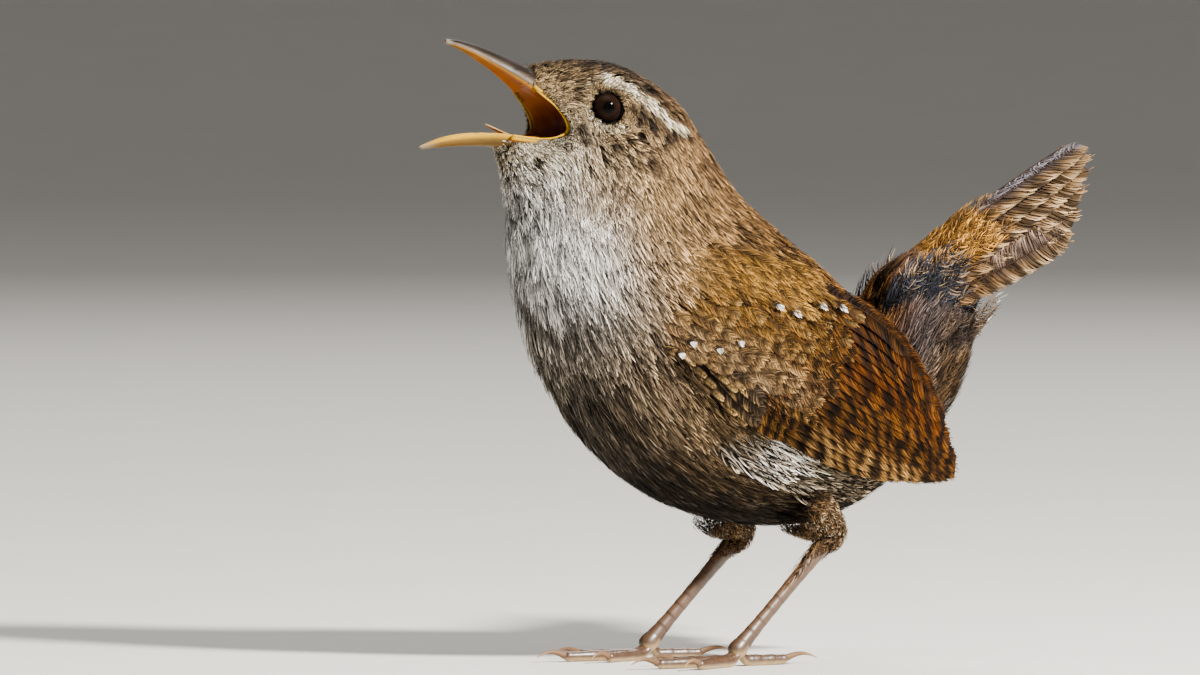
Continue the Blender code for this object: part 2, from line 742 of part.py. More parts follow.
def make_tail():
    rings = []
    for k in range(TAIL_CORE_STEPS + 1):
        s = k / TAIL_CORE_STEPS
        half = mix(*TAIL_CORE_HALF, s)
        thick = mix(*TAIL_CORE_THICK, s)
        turns = [2 * math.pi * j / TAIL_CORE_SIDES for j in range(TAIL_CORE_SIDES)]
        rings.append([along_tail(TAIL_CORE * s, turn, half, thick)[0] for turn in turns])
    tail = loft("tail", rings, "wing")
    pieces = []
    for k in range(TAIL_SIDE):
        for side in (1, -1):
            centre, outward, width = tail_feather(k, side)
            feather = vane(centre, outward, width, bent=TAIL_BENT, steps=TAIL_STEPS, base=0.55, end=0.35)
            pieces.append(feather)
    pieces += coverts(TAIL_COVERTS, random.Random(9))
    boolean(tail, "UNION", pieces, "MANIFOLD")
    return boolean(tail, "DIFFERENCE", [grown_body("rump", RUMP_CUT, BODY_END)], "MANIFOLD")


# Legs


def tube_ring(centre, direction, radius, sides, flat=1.0):
    across = Vector((1, 0, 0)) - direction * direction.x
    across.normalize()
    up = direction.cross(across)
    return [
        centre + across * radius * flat * math.cos(a) + up * radius * math.sin(a)
        for a in [2 * math.pi * j / sides for j in range(sides)]
    ]


def tube(name, path, radii, look, sides, flat):
    rings = []
    for k, here in enumerate(path):
        ahead = path[min(k + 1, len(path) - 1)] - path[max(k - 1, 0)]
        rings.append(tube_ring(here, ahead.normalized(), radii[k], sides, flat))
    return loft(name, rings, look)


def make_thigh(name, leg):
    """The feathered drumstick, from inside the belly down to just past the heel."""
    hip, heel, foot = Vector(leg["hip"]), Vector(leg["heel"]), Vector(leg["foot"])
    shin = (foot - heel).normalized()
    path = [hip.lerp(heel, share) + shin * on for share, on, _ in THIGH]
    radii = [radius for _, _, radius in THIGH]
    thigh = tube(name, path, radii, "plumage", THIGH_SIDES, THIGH_FLAT)
    return boolean(thigh, "DIFFERENCE", [grown_body("belly", BELLY_CUT, BODY_END)])


def make_shank(name, leg):
    heel, foot = Vector(leg["heel"]), Vector(leg["foot"])
    shin = (foot - heel).normalized()
    start = heel + shin * (THIGH[-1][1] + GAP)
    end = foot + shin * (ANKLE[0][0] - GAP)
    path = [start.lerp(end, share) for share, _ in SHANK]
    return tube(name, path, [radius for _, radius in SHANK], "leg", LEG_SIDES, SHANK_FLAT)


def toe_direction(turn, side):
    angle = math.radians(turn)
    return Vector((side * math.sin(angle), -math.cos(angle), 0))


def flattened(ring):
    """Points below the sole are brought up to it, which leaves a small flat to stand on."""
    return [Vector((p.x, p.y, max(p.z, 0.0))) for p in ring]


def make_foot(name, leg):
    foot, heel = Vector(leg["foot"]), Vector(leg["heel"])
    shin = (foot - heel).normalized()
    ankle = [foot + shin * on for on, _ in ANKLE]
    made = tube(name, ankle, [radius for _, radius in ANKLE], "leg", LEG_SIDES, THIGH_FLAT)
    toes = []
    for turn, length, _ in TOES.values():
        way = toe_direction(turn, leg["side"])
        rings = []
        for k in range(TOE_STEPS + 1):
            s = k / TOE_STEPS
            sink = (1 - min(s / 0.22, 1)) ** 2
            centre = Vector((foot.x, foot.y, TOE_AXIS_HEIGHT + (foot.z - TOE_AXIS_HEIGHT) * sink))
            centre += way * length * s
            pads = 1 + TOE_PAD_SWELL * math.cos(2 * math.pi * TOE_PADS * s)
            radius = TOE_RADIUS * pads * (1 - TOE_TAPER * s)
            rings.append(flattened(tube_ring(centre, way, radius, TOE_SIDES)))
        toes.append(loft("toe", rings, "leg"))
    return boolean(made, "UNION", toes)


def make_claw(name, leg, turn, length, claw):
    foot = Vector(leg["foot"])
    way = toe_direction(turn, leg["side"])
    start = Vector((foot.x, foot.y, CLAW_HEIGHT)) + way * (length + GAP)
    reach = way * claw * CLAW_REACH
    rings = []
    for k in range(CLAW_STEPS + 1):
        s = k / CLAW_STEPS
        rise = CLAW_ARCH * math.sin(CLAW_ARCH_TURN * s) - CLAW_DROP * s
        slope = CLAW_ARCH * CLAW_ARCH_TURN * math.cos(CLAW_ARCH_TURN * s) - CLAW_DROP
        ahead = (reach + Vector((0, 0, slope))).normalized() if k else way
        centre = start + reach * s + Vector((0, 0, rise))
        rings.append(tube_ring(centre, ahead, mix(*CLAW_RADII, s), CLAW_SIDES, CLAW_FLAT))
    return loft(name, rings, "claw")


def centre_over_origin():
    """Moves the model along y until its box is centred; it is already so across."""
    meshes = [thing.data for thing in bpy.data.objects]
    reach = [vert.co.y for mesh in meshes for vert in mesh.vertices]
    middle = (min(reach) + max(reach)) / 2
    for mesh in meshes:
        for vert in mesh.vertices:
            vert.co.y -= middle


def main():
    clear_scene()
    make_head()
    body_length("neck", HEAD_END, NECK_END, NECK_STEPS, "throat")
    body_length("torso", NECK_END, TORSO_END, TORSO_STEPS, "plumage")
    make_rump()
    make_mouth()
    make_upper_bill()
    make_bill("lower_bill", LOWER_BILL, LOWER_HOLLOW, "yellow_horn")
    make_tongue()
    make_tail()
    for word, leg in LEGS.items():
        side = leg["side"]
        make_eye(f"eye_{word}", side)
        make_wing(f"wing_{word}", side)
        make_thigh(f"thigh_{word}", leg)
        make_shank(f"shank_{word}", leg)
        make_foot(f"foot_{word}", leg)
        for toe, (turn, length, claw) in TOES.items():
            make_claw(f"claw_{toe}_{word}", leg, turn, length, claw)
    centre_over_origin()
    for thing in bpy.data.objects:
        shade(thing)


main()
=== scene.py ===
"""A Eurasian wren in song: skin, plumage, bill, mouth, eyes and legs dressed over the solids.

Shapes are worked out in millimetres in the bird's own frame, facing -Y with its left side at
+X, and are moved onto the solids and scaled to metres once, in place().
"""

import math
from types import SimpleNamespace

import bpy
import numpy as np
from mathutils import Matrix, Vector


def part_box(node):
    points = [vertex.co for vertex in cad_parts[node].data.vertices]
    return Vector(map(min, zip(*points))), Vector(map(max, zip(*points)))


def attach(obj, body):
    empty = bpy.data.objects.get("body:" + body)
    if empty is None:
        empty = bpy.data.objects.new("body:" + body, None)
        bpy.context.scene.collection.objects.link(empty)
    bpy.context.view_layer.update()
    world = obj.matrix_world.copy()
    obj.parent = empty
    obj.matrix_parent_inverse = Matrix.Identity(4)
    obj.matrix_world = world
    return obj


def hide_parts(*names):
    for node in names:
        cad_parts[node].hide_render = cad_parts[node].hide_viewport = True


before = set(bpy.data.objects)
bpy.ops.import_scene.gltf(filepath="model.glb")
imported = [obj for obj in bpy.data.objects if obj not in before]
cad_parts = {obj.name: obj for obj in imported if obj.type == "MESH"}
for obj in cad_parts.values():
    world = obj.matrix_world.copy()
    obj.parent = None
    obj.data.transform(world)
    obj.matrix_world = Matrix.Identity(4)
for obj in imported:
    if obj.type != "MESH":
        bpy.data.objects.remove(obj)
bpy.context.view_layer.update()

MM = 0.001

# Cross-sections of the plumage from the bill to the tail coverts: dorsal y and z, ventral
# y and z, half width, and how far the widest line sits towards the back.
BODY = (
    (-23.2, 68.3, -26.5, 59.0, 3.05, 0.12),
    (-21.0, 68.9, -26.1, 57.2, 3.6, 0.20),
    (-17.3, 69.2, -25.3, 54.8, 4.9, 0.30),
    (-13.0, 68.9, -24.6, 52.4, 7.05, 0.30),
    (-8.7, 67.2, -24.1, 49.8, 8.2, 0.20),
    (-4.4, 64.3, -23.6, 47.0, 9.0, 0.08),
    (-1.7, 60.5, -23.1, 43.8, 9.9, 0.04),
    (2.4, 54.7, -22.0, 39.8, 11.4, 0.0),
    (7.4, 50.2, -20.0, 34.4, 13.1, 0.0),
    (12.4, 46.4, -16.9, 28.9, 14.2, 0.0),
    (16.3, 43.2, -11.8, 23.0, 14.2, 0.0),
    (18.6, 41.4, -5.0, 18.7, 13.2, 0.0),
    (20.0, 40.8, 3.0, 16.3, 11.7, 0.0),
    (20.8, 40.8, 11.6, 16.0, 9.9, 0.0),
    (21.2, 41.2, 19.0, 18.2, 8.2, 0.0),
    (21.9, 42.6, 25.9, 23.1, 7.0, 0.05),
    (23.2, 44.6, 31.4, 29.0, 5.9, 0.1),
    (26.0, 46.4, 34.0, 34.6, 4.6, 0.1),
    (28.4, 46.9, 34.6, 38.8, 3.0, 0.0),
)
BODY_END = len(BODY) - 1

# The gape in profile, from the palate to the bed of the tongue.
GAPE_LINE = ((-23.6, 66.2), (-21.3, 64.1), (-20.1, 62.2), (-20.3, 61.0), (-22.5, 60.4), (-26.2, 60.8))

EYE_CENTRE = (5.2, -15.5, 63.8)
EYE_RADIUS = 2.15
EYE_FACING = (0.95, -0.28, 0.1)
LID_RADIUS = 2.1

# The closed wing: its surface bulges sideways by these amounts along its length.
WRIST = (-9.5, 39.6)
WING_PITCH = math.radians(-24.8)
WING_BULGE = (8.8, 12.0, 14.1, 15.1, 15.1, 14.3, 12.8, 10.7, 8.2, 5.6)
WING_STEP = 6
WING_START = -8
WING_CREST = 0.3
WING_CURVE = 16.6
# Tip reach, tip rise and blade width of each flight feather, tertials first.
FLIGHT = (
    (29.5, 9.0, 5.6), (32.5, 7.4, 5.4), (35.0, 5.9, 5.0),
    (36.4, 5.1, 4.4), (37.3, 4.5, 4.2), (38.0, 3.9, 4.2),
    (38.6, 3.4, 4.2), (39.2, 2.9, 4.2), (39.8, 2.5, 4.2),
    (40.4, 2.1, 3.8), (41.1, 1.7, 3.8), (41.8, 1.3, 3.8), (42.4, 0.9, 3.7), (42.9, 0.5, 3.6),
    (43.0, 0.0, 3.6), (42.0, -0.7, 3.5), (39.8, -1.6, 3.4), (36.2, -2.8, 3.2),
)

TAIL_ROOT = ((21.0, 41.2), (21.5, 38.5))
TAIL_MID = ((33.2, 50.0), (33.0, 43.6))
TAIL_TIP = ((49.3, 59.6), (44.4, 50.0))
TAIL_SPREAD = (1.3, 6.4)
TAIL_ROLL = (10, 62)
TAIL_SIDE = 6
TAIL_AXIS = (21.5, 39.2)
TAIL_PITCH = math.radians(34)

LEGS = {
    "left": {"side": 1, "hip": (6.0, 5.6, 20.5), "heel": (6.9, 13.3, 15.2), "foot": (7.6, 0.3, 2.0)},
    "right": {"side": -1, "hip": (-5.8, 2.0, 20.0), "heel": (-6.4, 8.3, 14.7), "foot": (-7.4, -3.4, 2.0)},
}

# How deep the skin lies under the tips of the coat, on the head and on the body.
COAT_HEAD = 0.55
COAT_BODY = 1.3
# How far feathers keep from the axis of an eye, by their roots and by their tips.
EYE_CLEAR = 1.8
EYE_CLEAR_TIPS = 1.76

# Seeds of the random draws for each part of the plumage.
COAT_SEED = 11
WING_SEED = 21
TAIL_SEED = 31
THIGH_SEED = 41

# The solids stand centred over the floor, so the bird's own frame is moved along Y to them.
eye_low, eye_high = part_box("eye_left")
SHIFT = (eye_low[1] + eye_high[1]) / 2 / MM - EYE_CENTRE[1]


def place(points):
    """Points in the bird's own millimetres, in the solids' metres."""
    return (np.asarray(points, float) + (0, SHIFT, 0)) * MM


def smooth(low, high, value):
    """0 below low, 1 above high, with soft ends."""
    share = np.clip((np.asarray(value, float) - low) / (high - low), 0, 1)
    return share * share * (3 - 2 * share)


def mix(a, b, share):
    return a + (b - a) * share


def tint(colour, ink, share):
    """A colour mixed with another, by a share for every point."""
    return mix(colour, ink, np.asarray(share)[..., None])


def unit(vectors):
    """Vectors made one long."""
    return vectors / np.maximum(np.linalg.norm(vectors, axis=-1, keepdims=True), 1e-9)


def curve_through(rows, t):
    """Catmull-Rom values of a table's rows at row numbers t."""
    table = np.asarray(rows, float)
    t = np.asarray(t, float)
    k = np.clip(np.floor(t).astype(int), 0, len(table) - 2)
    s = (t - k)[..., None]
    before = np.maximum(k - 1, 0)
    beyond = np.minimum(k + 2, len(table) - 1)
    p1, p2 = table[k], table[k + 1]
    p0 = np.where((k > 0)[..., None], table[before], 2 * p1 - p2)
    p3 = np.where((k + 2 < len(table))[..., None], table[beyond], 2 * p2 - p1)
    return 0.5 * (
        2 * p1
        + (p2 - p0) * s
        + (2 * p0 - 5 * p1 + 4 * p2 - p3) * s * s
        + (3 * p1 - p0 - 3 * p2 + p3) * s**3
    )


def body_at(t, turn, grow=0.0):
    """Points of the plumage's outline at row t, turned from the back round to the belly."""
    t = np.clip(t, -0.3, BODY_END + 1.2)
    dy, dz, vy, vz, half, high = np.moveaxis(curve_through(BODY, t), -1, 0)
    up_y, up_z = (dy - vy) / 2, (dz - vz) / 2
    rise = (1 + grow / np.hypot(up_y, up_z)) * (np.cos(turn) + high * np.sin(turn) ** 2)
    x = (half + grow) * np.sin(turn)
    return np.stack([x, (dy + vy) / 2 + up_y * rise, (dz + vz) / 2 + up_z * rise], -1)


def wing_at(side):
    """The wing's surface, a along it from the wrist and b up across it."""
    ca, sa = math.cos(WING_PITCH), math.sin(WING_PITCH)

    def at(a, b):
        bulge = curve_through([(v,) for v in WING_BULGE], (a - WING_START) / WING_STEP)[..., 0]
        across = np.minimum(np.abs(b - WING_CREST) / WING_CURVE, 0.95)
        x = side * bulge * np.sqrt(1 - across**2)
        return np.stack([x, WRIST[0] + a * ca - b * sa, WRIST[1] + a * sa + b * ca], -1)

    return at


class Sheet:
    """A surface on which feathers lie, with its outward side."""

    def __init__(self, at, outward, step=(0.02, 0.02)):
        self.at = at
        self.outward = outward
        self.step = step

    def frame(self, u, v):
        here = self.at(u, v)
        along = (self.at(u + self.step[0], v) - here) / self.step[0]
        across = (self.at(u, v + self.step[1]) - here) / self.step[1]
        return here, along, across

    def raised(self, u, v, height):
        """Points lifted off the surface."""
        here, along, across = self.frame(u, v)
        return here + unit(np.cross(along, across) * self.outward) * height[..., None]

    def scale(self, u, v):
        """Millimetres to one unit of each coordinate."""
        _, along, across = self.frame(u, v)
        return np.stack([np.linalg.norm(along, axis=-1), np.linalg.norm(across, axis=-1)], -1)


body_sheet = Sheet(body_at, -1)


# Plumage


def along_shafts(plane, s, across):
    """Places beside curved shafts: share s of the way along, and that far to the left."""
    shape = (-1,) + (1,) * (s.ndim - 1) + (2,)
    root, control, point = (plane[:, k].reshape(shape) for k in range(3))
    held = np.minimum(s, 1)[..., None]
    curve = (1 - held) ** 2 * root + 2 * held * (1 - held) * control + held**2 * point
    ahead = 2 * (1 - held) * (control - root) + 2 * held * (point - control)
    curve = curve + (s[..., None] - held) * ahead
    ahead = unit(ahead)
    return curve + np.stack([-ahead[..., 1], ahead[..., 0]], -1) * across[..., None]


def plate_faces(spot):
    """Quads of a closed plate: a grid of points and the next as many below, joined at the rim."""
    top = np.stack([spot[:-1, :-1], spot[1:, :-1], spot[1:, 1:], spot[:-1, 1:]], -1).reshape(-1, 4)
    here = np.concatenate([spot[:-1, 0], spot[-1, :-1], spot[:0:-1, -1], spot[0, :0:-1]])
    there = np.roll(here, -1)
    side = np.stack([there, here, here + spot.size, there + spot.size], -1)
    return np.concatenate([top, top[:, ::-1] + spot.size, side])


def tube_faces(rows, around):
    """Quads of a closed tube of rings, with its two ends."""
    here = np.arange(rows * around).reshape(rows, around)
    there = np.roll(here, -1, axis=1)
    side = np.stack([here[:-1], there[:-1], there[1:], here[1:]], -1).reshape(-1, 4)
    j = np.arange(around // 2 - 1)
    end = np.stack([j, j + 1, around - 2 - j, around - 1 - j], -1)
    return np.concatenate([side, end[:, ::-1], end + (rows - 1) * around])


def steps(count):
    """Shares from 0 to 1 in that many equal steps."""
    return [k / count for k in range(count + 1)]


def by_feather(values, many):
    return np.broadcast_to(np.asarray(values, float).reshape(-1, 1, 1, 1), (many, 1, 1, 1))


class Feathers:
    """Many feathers on one sheet, each a shaft with barbs on both sides, as thin ribbons.

    Arrays are indexed by feather, side of the shaft, barb and station along the barb.
    """

    def __init__(self, sheet, shafts, half, low, high, dice, count=10, stations=4, sweep=0.35,
                 strand=0.06, taper=0.75, loose=0.5, swell=0.5, tip=0.25, tilt=0.0, climb=2.0,
                 fray=0.0, rank=0.0):
        self.sheet = sheet
        self.shafts = np.asarray(shafts, float)
        self.many = many = len(self.shafts)
        self.scale = np.maximum(sheet.scale(self.shafts[:, 1, 0], self.shafts[:, 1, 1]), 0.7)
        self.plane = self.shafts * self.scale[:, None, :]
        self.half = by_feather(half, many)
        self.low = by_feather(low, many)
        self.high = by_feather(high, many)
        self.rank = by_feather(rank, many)
        self.tilt, self.climb, self.swell, self.tip = tilt, climb, swell, tip
        shape = (many, 2, count)

        self.luck = dice.uniform(0, 1, (many, 1, 1, 1))
        self.spark = dice.uniform(0, 1, shape)[..., None]
        start = 0.02 + 0.94 * (np.arange(count) + dice.uniform(0.2, 0.8, shape)) / count
        reach = start + sweep
        over = np.clip((reach - 1) / sweep, 0, 1)
        end = (1 - tip) * np.minimum(reach, 1) + tip * np.sin(over * math.pi / 2)
        end = end + loose * 0.08 * dice.normal(0, 1, shape)
        wide = swell + (1 - swell) * np.minimum(end / 0.55, 1)
        out = wide * np.cos(over * math.pi / 2) + loose * 0.12 * dice.normal(0, 1, shape)

        self.r = np.linspace(0, 1, stations).reshape(1, 1, 1, -1)
        self.s = start[..., None] + (end - start)[..., None] * self.r**1.15
        side = np.array([1.0, -1.0]).reshape(1, 2, 1, 1)
        self.q = side * out[..., None] * (1 - (1 - self.r) ** 1.7)
        across = self.q * self.half
        path = along_shafts(self.plane, self.s, across)
        height = self.rise(self.s, across)
        height = height + loose * 0.12 * dice.normal(0, 1, shape)[..., None]
        height = height + fray * dice.uniform(0, 1, shape)[..., None] * self.r**2

        run = unit(np.gradient(path, axis=3))
        flank = np.stack([-run[..., 1], run[..., 0]], -1)
        breadth = strand * (1 - taper * self.r**2.2) * np.ones(self.s.shape)
        roll = dice.uniform(-0.6, 0.6, shape)[..., None]
        edges = []
        for way in (-1, 1):
            spot = self.unscaled(path + way * flank * (breadth * np.cos(roll))[..., None])
            edges.append(sheet.raised(spot[..., 0], spot[..., 1], height + way * breadth * np.sin(roll)))
        self.points = np.stack(edges, -2)
        self.middle = self.unscaled(path)

    def rise(self, s, across):
        """The height of the blade over its sheet."""
        share = 1 - (1 - np.clip(s, 0, 1)) ** self.climb
        return self.low + (self.high - self.low) * share + self.tilt * across

    def unscaled(self, path):
        return path / self.scale.reshape((-1,) + (1,) * (path.ndim - 2) + (2,))

    def web(self, rows=15, wide=5, drop=0.1, thick=0.1):
        """A thin closed plate under each feather's barbs: its points, faces and shares."""
        s = np.linspace(0.02, 0.985, rows).reshape(1, 1, -1, 1)
        q = np.linspace(-1, 1, wide).reshape(1, 1, 1, -1)
        outline = self.swell + (1 - self.swell) * np.minimum(s / 0.55, 1)
        outline = 0.92 * outline * np.sqrt(1 - np.clip((s - 1 + self.tip) / self.tip, 0, 0.98) ** 2)
        s = s * np.ones((self.many, 1, rows, wide))
        q = q * np.ones(s.shape)
        across = q * outline * self.half
        path = self.unscaled(along_shafts(self.plane, s, across))
        height = self.rise(s, across) - drop
        layers = [self.sheet.raised(path[..., 0], path[..., 1], height - k * thick) for k in (0, 1)]
        faces = self.facing(plate_faces(np.arange(rows * wide).reshape(rows, wide)))
        # The plate's shares give it the lightness of a dim barb, as painted shade.
        shares = SimpleNamespace(
            s=s, q=q, r=np.ones((1, 1, 1, 1)), spark=0.35 + 0 * s, luck=self.luck, middle=path,
            rank=self.rank,
        )
        return np.stack(layers, 1)[:, :, 0], faces, shares

    def quill(self, thick, rows=9, last=0.96):
        """A four-sided shaft down the middle of each feather."""
        s = np.linspace(0, last, rows).reshape(1, 1, -1, 1)
        turn = np.arange(4).reshape(1, 1, 1, -1) * math.pi / 2
        size = thick * (1 - 0.8 * s)
        s = s * np.ones((self.many, 1, rows, 4))
        path = self.unscaled(along_shafts(self.plane, s, size * np.cos(turn) * np.ones(s.shape)))
        height = self.rise(s, 0 * s) + size * np.sin(turn) + 0.02
        points = self.sheet.raised(path[..., 0], path[..., 1], height)
        return points[:, 0], self.facing(tube_faces(rows, 4)), s

    def facing(self, faces):
        """The same faces for every feather, turned to suit the sheet's outward side."""
        return faces if self.sheet.outward > 0 else faces[:, ::-1]


def ribbon_faces(barbs, stations, outward):
    """Triangles of that many ribbons, each with two points at every station."""
    first = 2 * stations * np.arange(barbs).reshape(-1, 1, 1)
    step = 2 * np.arange(stations - 1).reshape(1, -1, 1)
    quad = np.array([[0, 2, 1], [1, 2, 3]] if outward > 0 else [[0, 1, 2], [1, 3, 2]])
    return (first[..., None] + step[..., None] + quad.reshape(1, 1, 2, 3)).reshape(-1, 3)


def paint_on(mesh, colours):
    """Stores colours by point where the materials look for them."""
    rgba = np.ones((len(mesh.vertices), 4), np.float32)
    rgba[:, :3] = colours
    layer = mesh.color_attributes.new("Markings", "FLOAT_COLOR", "POINT")
    layer.data.foreach_set("color", rgba.ravel())


def fit_on(piece, finish, replaces):
    """Gives a piece its material, and its place among the model's pieces."""
    piece.data.materials.clear()
    piece.data.materials.append(finish)
    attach(piece, "root")
    if replaces:
        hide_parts(*replaces)


def linked(name, data):
    """A new object in the scene."""
    thing = bpy.data.objects.new(name, data)
    bpy.context.scene.collection.objects.link(thing)
    return thing


def mesh_piece(name, points, faces, finish, colours, spots=None, replaces=()):
    """A piece of the model from arrays, with its colours and the spots of its map by point."""
    mesh = bpy.data.meshes.new(name)
    faces = np.asarray(faces, np.int32)
    sides = faces.shape[1]
    mesh.vertices.add(len(points))
    mesh.vertices.foreach_set("co", place(points).astype(np.float32).ravel())
    mesh.loops.add(faces.size)
    mesh.loops.foreach_set("vertex_index", faces.ravel())
    mesh.polygons.add(len(faces))
    mesh.polygons.foreach_set("loop_start", np.arange(0, faces.size, sides, dtype=np.int32))
    mesh.polygons.foreach_set("use_smooth", np.ones(len(faces), bool))
    mesh.update(calc_edges=True)
    paint_on(mesh, colours)
    if spots is not None:
        layer = mesh.uv_layers.new(name="OFBake")
        layer.uv.foreach_set("vector", np.asarray(spots, np.float32)[faces.ravel()].ravel())
    mesh.validate()
    piece = linked(name, mesh)
    fit_on(piece, finish, replaces)
    return piece


# The most triangles of one piece of coat, and the reach of a feather's patch on its map.
MOST_TRIANGLES = 190000
PATCH = 0.0015


class Pile:
    """Parts made from arrays, joined into pieces none of which is too large."""

    def __init__(self, name, finish, slot, replaces=()):
        self.name, self.finish, self.slot, self.replaces = name, finish, slot, replaces
        self.parts = []
        self.triangles = 0
        self.number = 0

    def add(self, points, faces, colours, spots):
        """Adds a mesh; one set of faces is repeated for every first index of the points."""
        many = points.shape[0]
        each = points[0].size // 3
        faces = np.asarray(faces)
        if faces.shape[-1] == 4:
            faces = np.concatenate([faces[:, [0, 1, 2]], faces[:, [0, 2, 3]]])
        share = max(1, MOST_TRIANGLES // len(faces))
        for first in range(0, many, share):
            part = slice(first, min(first + share, many))
            count = part.stop - part.start
            if self.triangles + count * len(faces) > MOST_TRIANGLES:
                self.done()
            shifts = each * np.arange(count).reshape(-1, 1, 1)
            self.parts.append((
                points[part].reshape(-1, 3), (faces + shifts).reshape(-1, 3),
                colours[part].reshape(-1, 3), spots[part].reshape(-1, 2),
            ))
            self.triangles += count * len(faces)

    def lay(self, feathers, paint, unwrap, web=False, quill=0.0, quill_colour=None):
        """Adds feathers, coloured by paint, with their patches by their roots on unwrap."""
        roots = feathers.shafts[:, 0]
        across, along = (v.reshape(-1, 1, 1, 1) for v in unwrap(roots[:, 0], roots[:, 1]))

        def patch(s, q):
            u = across + PATCH * np.clip(q, -1, 1)
            v = along + PATCH * (2 * np.clip(s, 0, 1) - 1)
            return np.stack(np.broadcast_arrays(u, v), -1)

        count, stations = feathers.s.shape[2:]
        faces = ribbon_faces(2 * count, stations, feathers.sheet.outward)
        colours = np.repeat(paint(feathers)[..., None, :], 2, axis=-2)
        spots = np.repeat(patch(feathers.s, feathers.q)[..., None, :], 2, axis=-2)
        self.add(feathers.points, faces, colours, spots)
        if web:
            points, faces, shares = feathers.web()
            # The plate under the barbs is painted at about half their colour, as painted shade in the gaps
            # between barbs.
            colours = np.repeat(0.55 * paint(shares), 2, axis=1)
            spots = np.repeat(patch(shares.s, shares.q), 2, axis=1)
            self.add(points, faces, colours, spots)
        if quill:
            points, faces, s = feathers.quill(quill)
            colours = np.ones(points.shape) * quill_colour
            self.add(points, faces, colours, patch(s, 0 * s)[:, 0])

    def done(self):
        """Turns the parts so far into a piece."""
        if not self.parts:
            return
        self.number += 1
        points, faces, colours, spots = zip(*self.parts)
        shifts = np.cumsum([0] + [len(p) for p in points])
        faces = np.concatenate([f + shift for f, shift in zip(faces, shifts)])
        mesh_piece(
            f"{self.name}_{self.number}", np.concatenate(points), faces, self.finish,
            np.concatenate(colours), np.concatenate(spots), self.replaces if self.number == 1 else (),
        )
        self.parts = []
        self.triangles = 0


# Markings


def tone(red, green, blue):
    """A colour given as seen on a screen, from 0 to 255, as light."""
    share = np.array([red, green, blue]) / 255
    return np.where(share <= 0.04045, share / 12.92, ((share + 0.055) / 1.055) ** 2.4)


CROWN_BROWN = tone(50, 36, 24)
NAPE_BROWN = tone(128, 98, 64)
MANTLE_GOLD = tone(138, 98, 44)
BACK_RUFOUS = tone(112, 74, 28)
RUMP_RUFOUS = tone(140, 92, 38)
CHEEK_BUFF = tone(176, 146, 104)
NECK_BUFF = tone(182, 146, 98)
THROAT_WHITE = tone(238, 236, 236)
CHIN_CREAM = tone(214, 196, 164)
BREAST_GREY = tone(150, 136, 116)
BREAST_BUFF = tone(160, 128, 84)
# The belly's buff is set darker than its own colour, partly as painted shade.
BELLY_BUFF = tone(92, 72, 40)
FLANK_SILVER = tone(178, 160, 132)
# The vent's brown is set darker than its own colour, partly as painted shade.
VENT_BROWN = tone(104, 78, 46)
DOWN_GREY = tone(50, 53, 62)
BROW_CREAM = tone(240, 220, 182)
LORE_BUFF = tone(188, 158, 114)
DARK_BROWN = tone(42, 31, 23)
TAIL_BLACK = tone(44, 33, 26)
SPOT_WHITE = tone(246, 243, 238)
WING_RUFOUS = tone(132, 70, 12)
WING_BROWN = tone(92, 58, 22)

BRIGHTEST = 0.95

# Patches of plumage: colour, row and turn of the middle, reach along and round the body, and
# how strongly its feathers are barred, streaked and tipped pale.
PATCHES = (
    (CROWN_BROWN, 3.0, 0.0, 2.6, 0.9, 0.1, 0.6, 0.1),
    (LORE_BUFF, 0.4, 0.9, 0.9, 0.8, 0.1, 0.4, 0.2),
    (NAPE_BROWN, 6.0, 0.2, 1.6, 1.0, 0.15, 0.35, 0.25),
    (CHEEK_BUFF, 3.4, 1.45, 1.6, 0.5, 0.45, 0.5, 0.35),
    (NECK_BUFF, 6.6, 1.5, 1.8, 0.55, 0.15, 0.45, 0.3),
    (CHIN_CREAM, 0.6, 2.7, 1.0, 0.9, 0.1, 0.3, 0.3),
    (CHIN_CREAM, 2.6, 2.2, 1.3, 0.5, 0.1, 0.5, 0.35),
    (CHEEK_BUFF, 4.6, 1.95, 1.2, 0.35, 0.3, 0.5, 0.35),
    (THROAT_WHITE, 4.6, 2.8, 2.5, 0.7, 0.0, 0.5, 0.3),
    (THROAT_WHITE, 6.2, 2.35, 1.2, 0.4, 0.0, 0.3, 0.3),
    (BREAST_GREY, 8.2, 2.7, 1.7, 0.8, 0.1, 0.8, 0.4),
    (BREAST_BUFF, 9.6, 2.1, 1.6, 0.6, 0.25, 0.6, 0.4),
    (MANTLE_GOLD, 8.4, 0.9, 1.6, 0.8, 0.7, 0.2, 0.3),
    (BACK_RUFOUS, 10.8, 0.3, 2.2, 1.0, 0.8, 0.1, 0.25),
    (RUMP_RUFOUS, 14.0, 0.0, 2.2, 1.0, 0.5, 0.1, 0.3),
    (BELLY_BUFF, 12.2, 2.7, 1.8, 0.8, 0.8, 0.3, 0.35),
    (FLANK_SILVER, 12.4, 1.75, 1.4, 0.4, 0.6, 0.0, 0.6),
    (VENT_BROWN, 15.6, 2.6, 1.8, 0.9, 0.8, 0.0, 0.6),
    (DOWN_GREY, 15.3, 1.3, 1.3, 0.5, 0.1, 0.3, 0.2),
    (DOWN_GREY, 18.0, 1.2, 1.0, 1.0, 0.1, 0.3, 0.4),
)


def body_tone(t, turn):
    """The plumage's own colour and its bars, streaks and pale tips, at rows and turns."""
    turn = np.abs((np.asarray(turn) + math.pi) % (2 * math.pi) - math.pi)
    total = 0
    found = 0
    for colour, row, middle, reach, spread, *marks in PATCHES:
        weight = np.exp(-(((t - row) / reach) ** 2) - ((turn - middle) / spread) ** 2) + 1e-7
        values = np.concatenate([colour, marks])
        found = found + weight[..., None] * values
        total = total + weight[..., None]
    found = found / total
    return found[..., :3], found[..., 3], found[..., 4], found[..., 5]


